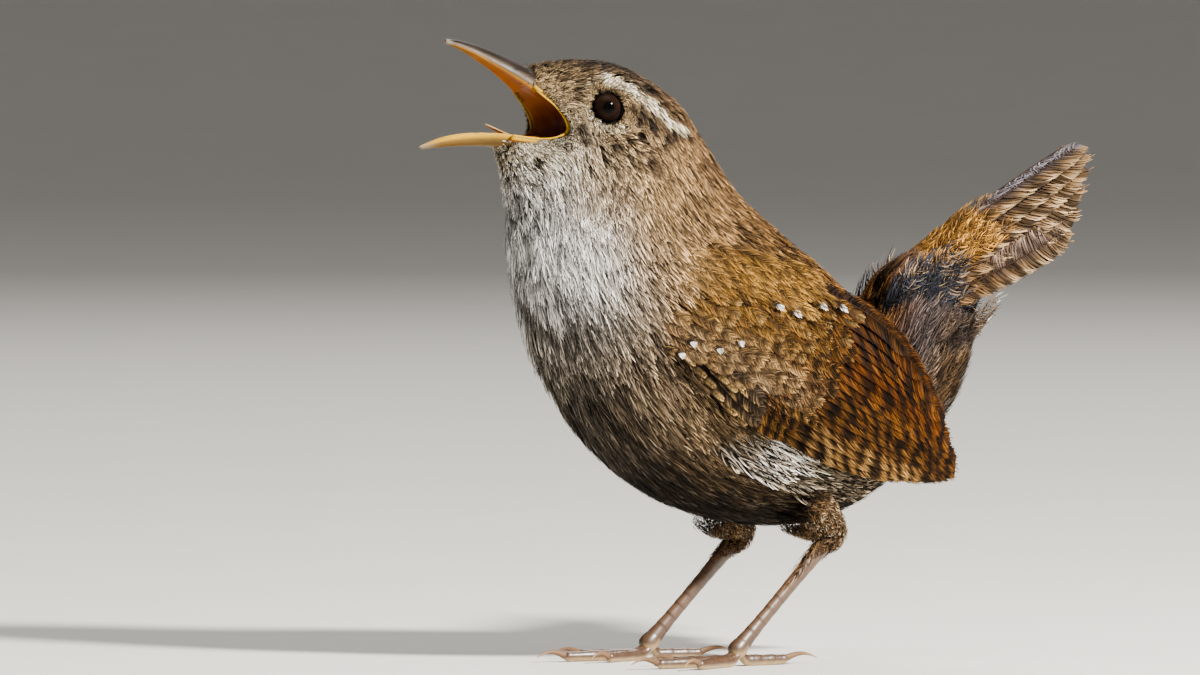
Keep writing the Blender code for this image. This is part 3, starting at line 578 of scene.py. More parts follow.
def line_gap(points, line):
    """How far points lie from a line of y, z places, seen from the side."""
    y, z = points[..., 1], points[..., 2]
    best = np.full(y.shape, 1e9)
    for (y0, z0), (y1, z1) in zip(line, line[1:]):
        run = np.array([y1 - y0, z1 - z0])
        share = np.clip(((y - y0) * run[0] + (z - z0) * run[1]) / (run @ run), 0, 1)
        best = np.minimum(best, np.hypot(y - y0 - share * run[0], z - z0 - share * run[1]))
    return best


def mouth_gap(points):
    """How far points lie from the edge of the open mouth."""
    return line_gap(points, GAPE_LINE)


def near_line(points, line, width):
    """How near points are to a line, from 1 on it to 0 beyond width."""
    return 1 - smooth(0.55 * width, width, line_gap(points, line))


# Lines and spots on the side of the head, as y and z.
BROW_START = ((-18.0, 66.3), (-16.4, 67.1), (-14.6, 67.0))
BROW_LINE = ((-15.2, 67.0), (-13.2, 66.3), (-11.7, 65.1), (-10.2, 63.8), (-8.9, 62.9))
BROW_END = ((-8.4, 62.0), (-6.0, 61.1))
BROW_EDGE = ((-17.2, 68.0), (-14.2, 68.0), (-12.0, 66.8), (-10.0, 65.2), (-8.0, 63.8))
EYE_STREAK = ((-13.2, 63.4), (-10.6, 61.6), (-8.4, 60.2))
EYE_ARC = ((-17.9, 63.2), (-17.3, 62.1), (-16.1, 61.5), (-14.5, 61.6))
EAR_SPOT = ((-11.3, 57.6), (-10.8, 56.6))
# The dark slit behind the gape is painted shade in a crease.
GAPE_SLIT = ((-19.0, 61.6), (-18.6, 60.0))


def head_marks(points, colour, grain):
    """The pale brow and the dark and pale marks round the eye, laid over the colours."""
    ragged = 1.1 * (grain - 0.5)
    beside = np.abs(points[..., 0]) > 2.2
    for line, width, ink, strength in (
        (BROW_EDGE, 0.8, DARK_BROWN, 0.2),
        (BROW_START, 0.36, BROW_CREAM, 0.25),
        (BROW_LINE, 0.78, BROW_CREAM, 1.0),
        (BROW_END, 0.66, BROW_CREAM, 0.85),
        (EYE_STREAK, 1.0, CROWN_BROWN * 0.75, 0.7),
        (EYE_ARC, 0.5, BROW_CREAM, 0.9),
        (EAR_SPOT, 0.8, DARK_BROWN, 0.75),
        (GAPE_SLIT, 0.6, DARK_BROWN * 0.6, 0.85),
    ):
        share = near_line(points, line, width * (1 + ragged)) * beside * strength
        if line is EYE_ARC:
            round_eye = np.arctan2(points[..., 2] - EYE_CENTRE[2], points[..., 1] - EYE_CENTRE[1])
            share = share * (0.35 + 0.65 * smooth(-0.3, 0.3, np.sin(20 * round_eye)))
        colour = tint(colour, ink, share)
    return colour


def pulse(value, share):
    """Bars: 1 on each bar, which takes up that share of every whole step of value."""
    phase = np.abs(value % 1 - 0.5) * 2
    return smooth(1 - share - 0.12, 1 - share + 0.12, phase)


def barb_light(view, depth=1.0):
    """The lightness that varies from barb to barb, partly painted shade in the gaps, and painted shade
    deepening towards the shaft and the root.
    """
    light = mix(0.7, 0.14 + 1.75 * view.spark**1.9, depth) * (0.2 + 0.8 * smooth(0, 0.75, view.r))
    light = light * mix(1.0, 0.22 + 0.78 * smooth(0.25, 0.8, view.s), depth)
    return (light * mix(1.0, 0.68 + 0.64 * view.luck, depth))[..., None]


def lit(colour, view, depth=1.0, light=1.0):
    """The colours of barbs with their painted light and shade laid over them, and none too bright."""
    return np.clip(colour * barb_light(view, depth) * light, 0, BRIGHTEST)


def clouds(points, size):
    """Soft patches over the body, from -1 to 1."""
    x, y, z = np.moveaxis(points / size, -1, 0)
    swirl = np.sin(1.3 * x + 2.1 * np.sin(0.9 * y)) * np.sin(1.1 * z + 1.7 * np.sin(0.8 * x))
    return swirl * np.sin(y - 0.7 * z)


def body_colours(feathers):
    """Colours of the barbs of feathers on the body's sheet."""
    t, turn = feathers.middle[..., 0], feathers.middle[..., 1]
    base, bars, streaks, tips = body_tone(t, turn)
    s, grain, luck = feathers.s, feathers.spark, feathers.luck
    points = body_at(t, turn)
    base = base * (1 + 0.22 * clouds(points, 2.2) + 0.22 * clouds(points, 0.9))[..., None]
    # Painted shade: the lower sides and the belly darkened, from the lower breast back.
    shade = smooth(1.9, 2.8, np.abs(turn)) * smooth(6.8, 10.5, t)
    base = base * (1 - 0.9 * shade)[..., None]
    base = head_marks(points, base, grain)
    along = 0.8 * points[..., 1] - 0.6 * points[..., 2]
    wave = 0.45 * np.sin(0.7 * points[..., 0] + 0.6 * points[..., 2]) + 0.14 * luck
    dark = np.maximum(pulse(along / 2.3 + wave, 0.36), 0.7 * pulse(s * 2.1 + 0.35 * luck, 0.3))
    base = tint(base, DARK_BROWN, 0.85 * bars * dark)
    fleck = streaks * smooth(0.45, 0.25, luck) * (0.5 + 0.5 * grain)
    base = tint(base, mix(DARK_BROWN, DOWN_GREY, 0.5), 0.85 * fleck)
    pale = tips * smooth(0.75, 0.98, s) * smooth(0.35, 0.75, luck)
    base = tint(base, np.minimum(base * 1.7 + 0.08, 0.9), pale)
    base = tint(0.6 * DOWN_GREY, base, 0.35 + 0.65 * smooth(0.3, 0.75, s))
    white = smooth(0.35, 0.75, base.mean(axis=-1, keepdims=True))
    return lit(base, feathers, 1.0, 1 + 0.75 * white)


def flank_colours(view):
    """Long silvery barbs among black ones, the black partly painted shade in the gaps between them; dark
    bars towards the vent.
    """
    t = view.middle[..., 0]
    pale = smooth(0.46, 0.7, view.spark) * (0.4 + 0.6 * smooth(0.2, 0.6, view.luck))
    bright = tint(FLANK_SILVER, THROAT_WHITE, 0.6 * view.luck * (1 - smooth(11.0, 13.0, t)))
    colour = tint(TAIL_BLACK, bright, pale)
    dark = pulse(view.s * 3.4 + 0.5 * view.luck, 0.45) * smooth(12.0, 14.0, t)
    colour = tint(colour, TAIL_BLACK, 0.95 * dark)
    return lit(colour, view, 1.0, 1.2)


# Where the feathers grow


GOLDEN_STEPS = (0.7548776662, 0.5698402910)


def scatter(sheet, tries, u_span, v_span, apart, dice, thin=0.0):
    """Roots spread over part of a sheet, that far apart, and thin further apart at turn 0."""
    k = np.arange(tries)
    u = mix(*u_span, (0.5 + GOLDEN_STEPS[0] * k) % 1)
    v = mix(*v_span, (0.5 + GOLDEN_STEPS[1] * k) % 1)
    size = sheet.scale(u, v).prod(axis=1)
    cell = (u_span[1] - u_span[0]) * (v_span[1] - v_span[0]) / tries
    keep = dice.uniform(0, 1, tries) < size * cell / (apart * (1 + thin * np.cos(v))) ** 2
    return u[keep], v[keep]


def straight_shafts(sheet, u, v, length, way):
    """Shafts of that length in millimetres, turned by way from the sheet's first direction."""
    scale = np.maximum(sheet.scale(u, v), 0.6)
    step = np.stack([length * np.cos(way), length * np.sin(way)], -1) / scale
    root = np.stack([u, v], -1)
    return np.stack([root, root + step / 2, root + step], 1)


def body_unwrap(t, turn):
    """The skin's own map: along the body one way and round it the other."""
    return 0.05 + 0.9 * ((turn / (2 * math.pi)) % 1), 0.05 + 0.75 * t / BODY_END


def eye_flow(points, way):
    """Turns the lie of the feathers so that it parts round each eye."""
    y = points[:, 1] - EYE_CENTRE[1]
    z = points[:, 2] - EYE_CENTRE[2]
    back = math.radians(-28)
    ahead = y * math.cos(back) + z * math.sin(back)
    above = -y * math.sin(back) + z * math.cos(back)
    gone = np.maximum(ahead**2 + above**2, LID_RADIUS**2)
    pull = (LID_RADIUS * 1.25) ** 2 / gone**2
    run = 1 - pull * (ahead**2 - above**2)
    rise = -2 * pull * ahead * above
    share = smooth(2.0, 3.2, np.abs(points[:, 0])) * (1 - smooth(5.0, 9.0, np.sqrt(gone)))
    return way + share * np.arctan2(rise, run) * np.sign(points[:, 0]) * -1


def in_mouth(points):
    """Whether points lie inside the open mouth, seen from the side."""
    return in_outline(points[:, 1], points[:, 2], ((-40, 80), *GAPE_LINE, (-40, 59)))


def eye_axis(side):
    """The centre of an eye and the direction that it faces."""
    mirror = np.array([side, 1, 1])
    return EYE_CENTRE * mirror, unit(EYE_FACING * mirror)


def eye_gap(points):
    """How far points lie from the axis of the eye on their own side."""
    gaps = []
    for side in (1, -1):
        centre, axis = eye_axis(side)
        along = (points - centre) @ axis
        gap = np.linalg.norm(points - centre - along[:, None] * axis, axis=1)
        gaps.append(np.where(along > 0, gap, 99.0))
    return np.minimum(*gaps)


def on_wing(points):
    """Places along and across the wing, seen from the side."""
    y, z = points[:, 1] - WRIST[0], points[:, 2] - WRIST[1]
    ca, sa = math.cos(WING_PITCH), math.sin(WING_PITCH)
    return y * ca + z * sa, z * ca - y * sa


# Nothing this near the middle of the body lies under a wing.
BODY_CORE = 6
# The closed wing's outline that the body's feathers keep off, along and across the wing.
WING_OUTLINE = (
    (1.6, 3.6), (-0.6, 1.0), (-0.6, -2.2), (0.6, -3.4), (3.9, -4.8), (7.4, -6.1), (10.6, -7.0),
    (15.0, -7.6), (20.0, -7.3), (30.0, -4.6), (30.0, 6.0), (14.0, 7.0), (6.0, 5.4),
)


def in_outline(y, z, outline):
    """Whether places lie inside a closed outline."""
    inside = np.zeros(y.shape, bool)
    for (y0, z0), (y1, z1) in zip(outline, outline[1:] + outline[:1]):
        crosses = (z0 > z) != (z1 > z)
        if z0 != z1:
            inside ^= crosses & (y < (y1 - y0) * (z - z0) / (z1 - z0) + y0)
    return inside


def under_wing(points):
    """Whether points lie inside the closed wing's outline, seen from the side."""
    return in_outline(*on_wing(points), WING_OUTLINE) & (np.abs(points[:, 0]) > BODY_CORE)


def wing_front(points):
    """How far feathers stand off the body so that they reach up to the front of the wing."""
    a, b = on_wing(points)
    near = smooth(-9.0, -3.5, a) * (1 - smooth(0.0, 3.0, a))
    near = near * smooth(-9, -4, b) * (1 - smooth(5, 9, b))
    return 0.8 * near * (np.abs(points[:, 0]) > BODY_CORE)


# Zones of the body: name, first and last row, spacing, length, half width, barbs on a side,
# strand and looseness.
ZONES = (
    ("face", 0.02, 1.6, 0.36, 1.4, 0.2, 5, 0.042, 0.5),
    ("head", 1.15, 5.4, 0.56, 2.9, 0.33, 8, 0.047, 0.45),
    ("neck", 4.8, 8.0, 0.82, 5.0, 0.46, 9, 0.057, 0.55),
    ("torso", 8.0, 13.4, 1.02, 6.6, 0.64, 11, 0.063, 0.6),
    ("rump", 13.4, 17.4, 1.2, 7.0, 0.95, 12, 0.055, 1.0),
)


# Small dense feathers round the eyes: spacing, nearest and furthest from the eye's axis, length
# and half width; and those along the mouth, with their distances from the gape's line.
EYE_RINGS = ((0.3, EYE_CLEAR, 3.6, 1.0, 0.2), (0.2, EYE_CLEAR_TIPS, 2.3, 0.5, 0.15))
MOUTH_RINGS = ((0.24, 0.0, 1.7, 1.0, 0.17), (0.16, 0.0, 0.6, 0.6, 0.13))
RING_TRIES = 14000
NECK_FEATHERS = 160
BRISTLES = 420


def coat_depth(t):
    return mix(COAT_HEAD, COAT_BODY, smooth(3.0, 8.0, t))


def lay_zones(pile, dice):
    """The coat itself, from the face to the rump."""
    for name, first, last, apart, length, half, count, strand, loose in ZONES:
        tries = int(720 * (last - first) / apart**2)
        u, v = scatter(body_sheet, tries, (first, last), (-math.pi, math.pi), apart, dice, 0.12)
        roots = body_at(u, v)
        keep = ~in_mouth(roots) & (eye_gap(roots) > EYE_CLEAR) & ~under_wing(roots)
        u, v, roots = u[keep], v[keep], roots[keep]
        many = len(u)
        size = (0.85 + 0.3 * dice.uniform(0, 1, many)) * mix(1.0, 1.15, smooth(1.6, 2.6, np.abs(v)))
        if name == "head":
            size *= mix(0.45, 1.0, smooth(2.4, 5.0, eye_gap(roots)))
            throat = smooth(1.8, 2.4, np.abs(v)) * smooth(1.8, 3.0, u)
            size *= mix(1.0, 1.6, np.maximum(throat, smooth(3.8, 5.4, u)))
        if name == "neck":
            size *= mix(0.7, 1.0, smooth(4.8, 6.4, u))
        if name == "face":
            size *= mix(0.6, 1.25, smooth(0.2, 1.6, u))
        way = dice.normal(0, 0.04 + 0.06 * loose, many)
        if name in ("face", "head"):
            way = eye_flow(roots, way)
        shafts = straight_shafts(body_sheet, u, v, length * size, way)
        lay_body_feathers(pile, shafts, half * size, count, strand, loose, dice)


def lay_rings(pile, rings, rows, turns, gap_of, dice):
    """Small dense feathers between two distances from an eye or from the mouth."""
    for apart, near, far, length, half in rings:
        for side in (1, -1):
            u, v = scatter(body_sheet, RING_TRIES, rows, turns, apart, dice)
            roots = body_at(u, v * side)
            gap = gap_of(roots)
            keep = (gap > near) & (gap < far) & ~in_mouth(roots)
            u, v, roots = u[keep], v[keep] * side, roots[keep]
            way = eye_flow(roots, dice.normal(0, 0.14, len(u)))
            size = length * dice.uniform(0.8, 1.2, len(u))
            lay_body_feathers(pile, straight_shafts(body_sheet, u, v, size, way), half, 5, 0.04, 0.5, dice)


def lay_neck_feathers(pile, dice):
    """More feathers on the sides of the neck, where head and neck meet."""
    u = dice.uniform(4.0, 5.2, NECK_FEATHERS)
    v = dice.choice((-1, 1), NECK_FEATHERS) * dice.uniform(1.65, 2.15, NECK_FEATHERS)
    length = dice.uniform(2.6, 3.6, NECK_FEATHERS)
    shafts = straight_shafts(body_sheet, u, v, length, dice.normal(0, 0.1, NECK_FEATHERS))
    lay_body_feathers(pile, shafts, 0.34, 9, 0.045, 0.5, dice)


def lay_bristles(pile, dice):
    """Bristles that point forwards over the roots of the bill."""
    u = dice.uniform(0.0, 0.5, BRISTLES)
    v = dice.choice((0.0, math.pi), BRISTLES, p=(0.4, 0.6)) + dice.normal(0, 0.5, BRISTLES)
    length = dice.uniform(0.9, 1.7, BRISTLES)
    shafts = straight_shafts(body_sheet, u, v, length, math.pi + dice.normal(0, 0.4, BRISTLES))
    lay_body_feathers(pile, shafts[~in_mouth(body_at(*shafts[:, 2].T))], 0.1, 4, 0.035, 1.0, dice)


def lay_flank_plumes(pile, dice):
    """Long loose strands below each wing."""
    for side in (1, -1):
        u, v = scatter(body_sheet, 500, (9.9, 13.9), (1.72, 2.2), 1.15, dice)
        v = v + 0.08 * np.maximum(u - 11.0, 0)
        way = 0.05 + 0.08 * (u - 9.6) + dice.normal(0, 0.06, len(u))
        shafts = straight_shafts(body_sheet, u, v * side, dice.uniform(6.0, 9.5, len(u)), way * side)
        plumes = Feathers(
            body_sheet, shafts, 0.55, -0.9, 0.35 + 0.5 * dice.uniform(0, 1, len(u)), dice, count=12,
            strand=0.055, loose=0.4, sweep=0.75, tip=0.4, swell=0.5, fray=0.25,
        )
        pile.lay(plumes, flank_colours, body_unwrap)


def make_body_coat(finish):
    dice = np.random.default_rng(COAT_SEED)
    pile = Pile("coat", finish, "plumage")
    lay_zones(pile, dice)
    lay_rings(pile, EYE_RINGS, (1.5, 4.4), (0.4, 2.0), eye_gap, dice)
    lay_rings(pile, MOUTH_RINGS, (0.02, 3.4), (0.3, 3.1), mouth_gap, dice)
    lay_neck_feathers(pile, dice)
    lay_bristles(pile, dice)
    lay_flank_plumes(pile, dice)
    pile.done()


def lay_body_feathers(pile, shafts, half, count, strand, loose, dice):
    """Adds body feathers, but for those whose tips would cover an eye or a wing."""
    middles, tips = body_at(*shafts[:, 1].T), body_at(*shafts[:, 2].T)
    clear = (eye_gap(middles) > EYE_CLEAR) & (eye_gap(tips) > EYE_CLEAR_TIPS) & ~under_wing(tips)
    shafts = shafts[clear]
    half = np.broadcast_to(half, clear.shape)[clear]
    u = shafts[:, 0, 0]
    high = 0.05 + 0.25 * loose * dice.uniform(0, 1, len(u)) + wing_front(tips[clear])
    beard = smooth(2.2, 3.0, np.abs(shafts[:, 0, 1])) * smooth(0.8, 2.4, u) * (1 - smooth(6.5, 9.0, u))
    high = high + 1.1 * beard * dice.uniform(0, 1, len(u)) ** 3
    feathers = Feathers(
        body_sheet, shafts, half, -coat_depth(u), high, dice, count=count, strand=strand,
        loose=loose, sweep=0.86, tip=0.4, swell=0.5, taper=0.8, fray=0.35 * loose,
    )
    pile.lay(feathers, body_colours, body_unwrap)


# Wings


# Rows of coverts from the lowest layer up: kind, count, roots and tips of the uppermost and
# lowermost feather, width and lift.
WING_COVERTS = (
    ("greater", 15, (8.0, 8.8), (7.2, -2.6), (21.4, 9.4), (18.6, -3.2), 2.5, 0.6),
    ("primary", 8, (7.6, -2.4), (7.0, -4.8), (18.4, -3.6), (15.6, -7.2), 1.8, 0.66),
    ("alula", 3, (4.4, -2.9), (4.8, -4.1), (12.4, -4.6), (11.8, -6.9), 1.9, 0.8),
)
# The small coverts over the arm, in rows from the rear: how far apart the rows and the feathers
# of a row are, the rows' number, and the length and half width of a feather.
SMALL_COVERTS = (1.7, 1.3, 10, 5.6, 0.95)
# Tips of the small coverts that end in a bright white spot, and of those with long pale spots
# along the front edge.
WHITE_TIPS = ((1.6, -3.4), (2.2, -1.8), (5.1, -1.3), (7.0, 0.4))
PALE_TIPS = (
    (3.0, -3.8), (4.7, -4.5), (6.2, -5.1), (7.7, -5.9), (9.9, -6.7), (11.6, -7.2),
    (7.2, -4.1), (8.6, -4.5), (9.3, -4.0), (5.4, -3.3),
)
# Wispy white tips on the shoulder feathers that hang over the wing.
SHOULDER_TIPS = ((10.0, 5.7), (12.3, 5.9), (15.4, 8.0), (18.2, 8.9))
SHOULDER_FEATHERS = 90
# Rings of the arm's pad, and the points of one of its two sides.
PAD_RINGS = 14
PAD_SIDE = 8

COVERT_GOLD = tone(142, 102, 40)
COVERT_GREY = tone(170, 138, 98)
ALULA_GREY = tone(86, 70, 52)
SPOT_BUFF = tone(200, 160, 98)
PRIMARY_EDGE = tone(214, 162, 92)
WING_BLACK = tone(26, 18, 13)
QUILL_BROWN = tone(46, 31, 20)


def flight_colours(view):
    """Rufous feathers with black bars; the outer edges of the primaries turn buff."""
    a, b = view.middle[..., 0], view.middle[..., 1]
    outer = smooth(0.1, -0.3, view.q)
    primary = smooth(0.45, 0.62, view.rank)
    wave = 0.22 * np.sin(1.1 * b + 0.5 * a) + 0.28 * view.luck + 0.12 * np.sin(1.6 * a + 9 * view.luck)
    wave = a / mix(2.7, 2.3, primary) + 0.28 * b + wave + 0.1 * view.spark
    bars = pulse(wave, mix(0.5, 0.56, primary))
    colour = tint(WING_RUFOUS, WING_BROWN, 0.15 + 0.55 * primary * (1 - outer))
    colour = tint(colour, COVERT_GOLD, 0.35 * view.luck + 0.25 * primary * outer)
    edge = outer * smooth(0.74, 0.9, view.rank) * smooth(16, 22, a) * (1 - smooth(37, 41, a))
    edge = edge * (0.7 + 0.3 * np.sin(a + 7 * view.luck))
    colour = tint(colour, PRIMARY_EDGE, edge)
    strength = mix(0.9 + 0.1 * np.sin(0.6 * a - 0.9 * b), 0.97, primary) * smooth(3, 9, a)
    colour = tint(colour, WING_BLACK, bars * np.clip(strength, 0, 1))
    rim = smooth(0.5, -0.95, view.q) * smooth(-0.6, -1.0, view.q)
    dusk = 0.5 * smooth(5.0, 10.0, b) + 0.3 * smooth(32, 41, a) + 0.5 * rim * (1 - edge)
    colour = tint(colour, WING_BLACK, np.clip(dusk, 0, 0.8))
    return lit(colour, view, 0.5, 0.66)


def covert_colours(kind):
    """Colours of one kind of covert: its own ground, dark bars and pale spots."""

    def paint(view):
        a, b = view.middle[..., 0], view.middle[..., 1]
        s, q = view.s, np.abs(view.q)
        golden = smooth(-2.0, 3.0, b) * smooth(-3.0, 2.0, a)
        colour = tint(COVERT_GREY, COVERT_GOLD, golden)
        patches = 0.5 + 0.5 * np.sin(0.9 * a + 1.5 * b + 2 * np.sin(0.7 * b - 0.5 * a))
        colour = tint(colour, WING_BROWN, 0.1 + 0.5 * patches)
        wobble = view.luck + 0.1 * view.spark
        blob = (1 - smooth(0.2, 0.75, q + 0.5 * (view.spark - 0.5))) * smooth(0.78, 0.94, s)
        ink = SPOT_BUFF
        if kind == "greater":
            colour = mix(colour, WING_RUFOUS, 0.3)
            dark = 0.85 * pulse(s * 5.2 + 0.6 * wobble, 0.44) * smooth(0.2, 0.4, s)
            pale = 0.6 * blob * (view.luck > 0.5)
        elif kind == "small":
            dark = 0.75 * smooth(0.68, 0.78, s) * (1 - blob) * smooth(0.2, 0.6, view.luck)
            dark = dark + 0.35 * pulse(s * 4.2 + 0.6 * wobble, 0.3) * (s < 0.68)
            dark = dark * smooth(-1.5, 4.0, a)
            pale = blob * (0.15 + 0.6 * smooth(0.5, 0.9, (view.luck * 7) % 1))
        elif kind == "primary":
            colour = tint(WING_BROWN * 1.3, COVERT_GOLD, 0.7 * view.luck + 0 * s)
            dark = 0.92 * pulse(a / 1.35 + 0.25 * b + 0.3 * wobble, 0.5)
            pale = 0 * s
        elif kind == "shoulder":
            ahead = smooth(4.0, -4.0, a)
            colour = tint(MANTLE_GOLD, COVERT_GOLD, view.luck + 0 * s)
            colour = tint(colour, NECK_BUFF * 0.8, 0.8 * ahead)
            dark = 0.6 * pulse(a / 2.3 + 0.35 * b + 0.35 * view.luck, 0.3)
            pale = 0.2 * smooth(0.85, 1.0, s) * view.spark
        elif kind == "wisp":
            colour = tint(COVERT_GOLD, WING_BLACK, smooth(0.4, 0.75, s))
            dark = 0 * s
            pale = smooth(0.76, 0.88, s) * smooth(0.2, 0.5, view.spark)
            ink = SPOT_WHITE
        elif kind == "pale":
            colour = tint(colour, WING_BLACK, 0.9 * smooth(0.25, 0.5, s))
            dark = 0 * s
            pale = smooth(0.4, 0.7, s) * (1 - smooth(0.4, 0.95, q + 0.5 * (view.spark - 0.5)))
            pale = pale * (0.45 + 0.5 * view.luck)
        else:
            colour = 0 * colour + ALULA_GREY
            dark = 0.7 * smooth(0.4, 0.9, q) + 0.3 * pulse(s * 5.0 + 0.3 * wobble, 0.5)
            pale = 0.4 * smooth(0.5, 0.9, -view.q) * pulse(s * 4.0 + 0.3 * wobble, 0.5)
        colour = tint(colour, WING_BLACK, np.clip(dark, 0, 1))
        colour = tint(colour, ink, np.clip(pale, 0, 1))
        light = 0.6 if kind in ("greater", "primary") else 0.95
        return lit(colour, view, 0.75, light)

    return paint


def white_tip_colours(view):
    s, q = view.s, np.abs(view.q)
    colour = mix(COVERT_GREY, COVERT_GOLD, 0.3) + 0 * s[..., None]
    colour = tint(colour, WING_BLACK, 0.95 * smooth(0.45, 0.62, s))
    spot = smooth(0.66, 0.74, s) * smooth(0.1, -0.12, q - 1.15 * (s - 0.62) / 0.38)
    shine = (0.3 + 0.45 * view.spark + 0.15 * view.luck)[..., None]
    return np.clip(tint(colour * barb_light(view), SPOT_WHITE * shine, spot), 0, BRIGHTEST)


def wing_unwrap(a, b):
    return 0.05 + 0.9 * (a + 9) / 56, 0.05 + 0.9 * (b + 10) / 24


def straight(root, tip, sag=(0, 0)):
    """Shafts from roots to tips, with their middles moved by sag."""
    return np.stack([root, (root + tip) / 2 + sag, tip], 1)


def lay_flight_feathers(pile, sheet, dice):
    """The quills, from the innermost tertial to the outermost primary."""
    share = np.linspace(0, 1, len(FLIGHT))
    reach, rise, width = np.array(FLIGHT).T
    root = np.stack([mix(8.5, 8.0, share), mix(8.6, -5.2, share)], -1)
    bend = np.stack([mix(20.0, 24.0, share), mix(13.0, -7.6, share)], -1)
    tip = np.stack([reach + dice.uniform(-0.3, 0.3, len(share)), rise], -1)
    lift = mix(0.25, -0.45, share)
    flight = Feathers(
        sheet, np.stack([root, bend, tip], 1), width / 2, lift, 0.4 * lift, dice, count=100,
        stations=5, sweep=0.19, strand=0.07, taper=0.5, loose=0.07, swell=0.55, tip=0.12,
        tilt=-0.19, climb=1.0, rank=share,
    )
    pile.lay(flight, flight_colours, wing_unwrap, True, 0.13, QUILL_BROWN)


def lay_covert_rows(pile, sheet, dice):
    """The coverts that lie in one row each."""
    for kind, count, root_top, root_low, tip_top, tip_low, width, lift in WING_COVERTS:
        share = (np.arange(count) + dice.uniform(-0.3, 0.3, count)) / (count - 1)
        root = np.stack([mix(root_top[k], root_low[k], share) for k in (0, 1)], -1)
        tip = np.stack([mix(tip_top[k], tip_low[k], share) for k in (0, 1)], -1)
        tip = tip + dice.normal(0, 1, (count, 2)) * (0.75, 0.2)
        shafts = straight(root, tip, np.stack([0 * share, mix(0.6, -0.5, share)], -1))
        lay_coverts(pile, sheet, kind, shafts, width / 2 * dice.uniform(0.85, 1.1, count), lift, dice)


def lay_small_coverts(pile, sheet, dice):
    """The rows of small coverts over the arm."""
    apart, beside, rows, length, half = SMALL_COVERTS
    for row in range(rows):
        reach = 17.2 - apart * row
        low, high = mix(-2.4, -3.0, row / rows), 9.4 - 0.3 * row
        across = np.arange(low, high, beside) + 0.5 * beside * (row % 2)
        across = across + dice.normal(0, 0.2, len(across))
        tip = np.stack([reach + dice.normal(0, 0.45, len(across)), across], -1)
        lean = mix(0.2, 1.5, smooth(-3, 5, across))
        root = tip + np.stack([-length * dice.uniform(0.9, 1.1, len(across)), lean], -1)
        lift = 0.62 + 0.05 * row - 0.3 * (row > 8)
        lay_coverts(pile, sheet, "small", straight(root, tip, (0, 0.1)), half, lift, dice)


def lay_spots(pile, sheet, dice):
    """The feathers that end in pale or white marks."""
    for kind, tips, step, half, lift in (
        ("pale", PALE_TIPS, (2.9, -0.75), 0.36, 0.85),
        ("wisp", SHOULDER_TIPS, (4.2, -1.2), 0.5, 1.3),
    ):
        tip = np.array(tips)
        lay_coverts(pile, sheet, kind, straight(tip - step, tip), half, lift, dice)
    tip = np.array(WHITE_TIPS)
    spotted = Feathers(
        sheet, straight(tip - (2.5, 0.0), tip), 0.4, 0.7, 1.0, dice, count=40,
        sweep=0.3, strand=0.04, taper=0.5, loose=0.12, swell=0.85, tip=0.15, tilt=-0.1,
    )
    pile.lay(spotted, white_tip_colours, wing_unwrap, True)


def lay_shoulder(pile, sheet, dice):
    """The loose feathers that hang over the upper edge of the wing."""
    along = dice.uniform(0, 1, SHOULDER_FEATHERS)
    beside = dice.uniform(-1.8, 2.4, SHOULDER_FEATHERS)
    root = np.stack([mix(-7.0, 9.0, along), mix(6.4, 9.6, along) + beside], -1)
    lean = dice.uniform(-1.7, -0.6, SHOULDER_FEATHERS)
    tip = root + np.stack([dice.uniform(5.5, 7.0, SHOULDER_FEATHERS), lean], -1)
    lift = 0.95 + 0.35 * dice.uniform(0, 1, SHOULDER_FEATHERS)
    lay_coverts(pile, sheet, "shoulder", straight(root, tip, (0, 0.2)), 0.9, lift, dice)


def make_wing(word, side, finish):
    dice = np.random.default_rng(WING_SEED)
    sheet = Sheet(wing_at(side), side)
    pile = Pile(f"wing_{word}", finish, "wing", (f"wing_{word}",))
    make_wing_pad(pile, sheet)
    for lay in (lay_flight_feathers, lay_covert_rows, lay_small_coverts, lay_spots, lay_shoulder):
        lay(pile, sheet, dice)
    pile.done()


def lay_coverts(pile, sheet, kind, shafts, half, lift, dice):
    """Adds feathers of one kind of covert."""
    hairy = kind in ("small", "shoulder", "wisp")
    coverts = Feathers(
        sheet, shafts, half, lift - (0.9 if hairy else 0.35), lift, dice,
        count=26 if hairy else 40, sweep=0.5 if hairy else 0.36, strand=0.048 if hairy else 0.06,
        taper=0.6, loose=0.28 if hairy else 0.2, swell=0.6, tilt=-0.1, fray=0.1 if hairy else 0.04,
    )
    pile.lay(coverts, covert_colours(kind), wing_unwrap, kind not in ("shoulder", "wisp"))


def make_wing_pad(pile, sheet):
    """The arm under the coverts, thinning to the rear: a closed pad that the feathers hide, painted black
    as painted shade.
    """
    rings = []
    for s in steps(PAD_RINGS - 1):
        a = mix(-2.4, 25.0, s)
        top = 4.0 + 7.4 * math.sin(math.pi * min(s * 0.62 + 0.02, 0.5))
        low = -2.0 - 3.8 * math.sin(math.pi * min(s * 0.85 + 0.05, 0.62))
        deep = mix(3.0, 1.6, s)
        across = np.linspace(0, 1, PAD_SIDE)
        b = np.concatenate([mix(low, top, across), mix(top, low, across)])
        height = np.repeat([-0.45, -deep], PAD_SIDE)
        rings.append(sheet.raised(np.full(2 * PAD_SIDE, a), b, height))
    faces = tube_faces(PAD_RINGS, 2 * PAD_SIDE)
    if sheet.outward > 0:
        faces = faces[:, ::-1]
    points = np.array(rings)[None]
    colours = np.ones(points.shape) * WING_BLACK
    pile.add(points, faces, colours, 0.02 + 0 * points[..., :2])


# Tail


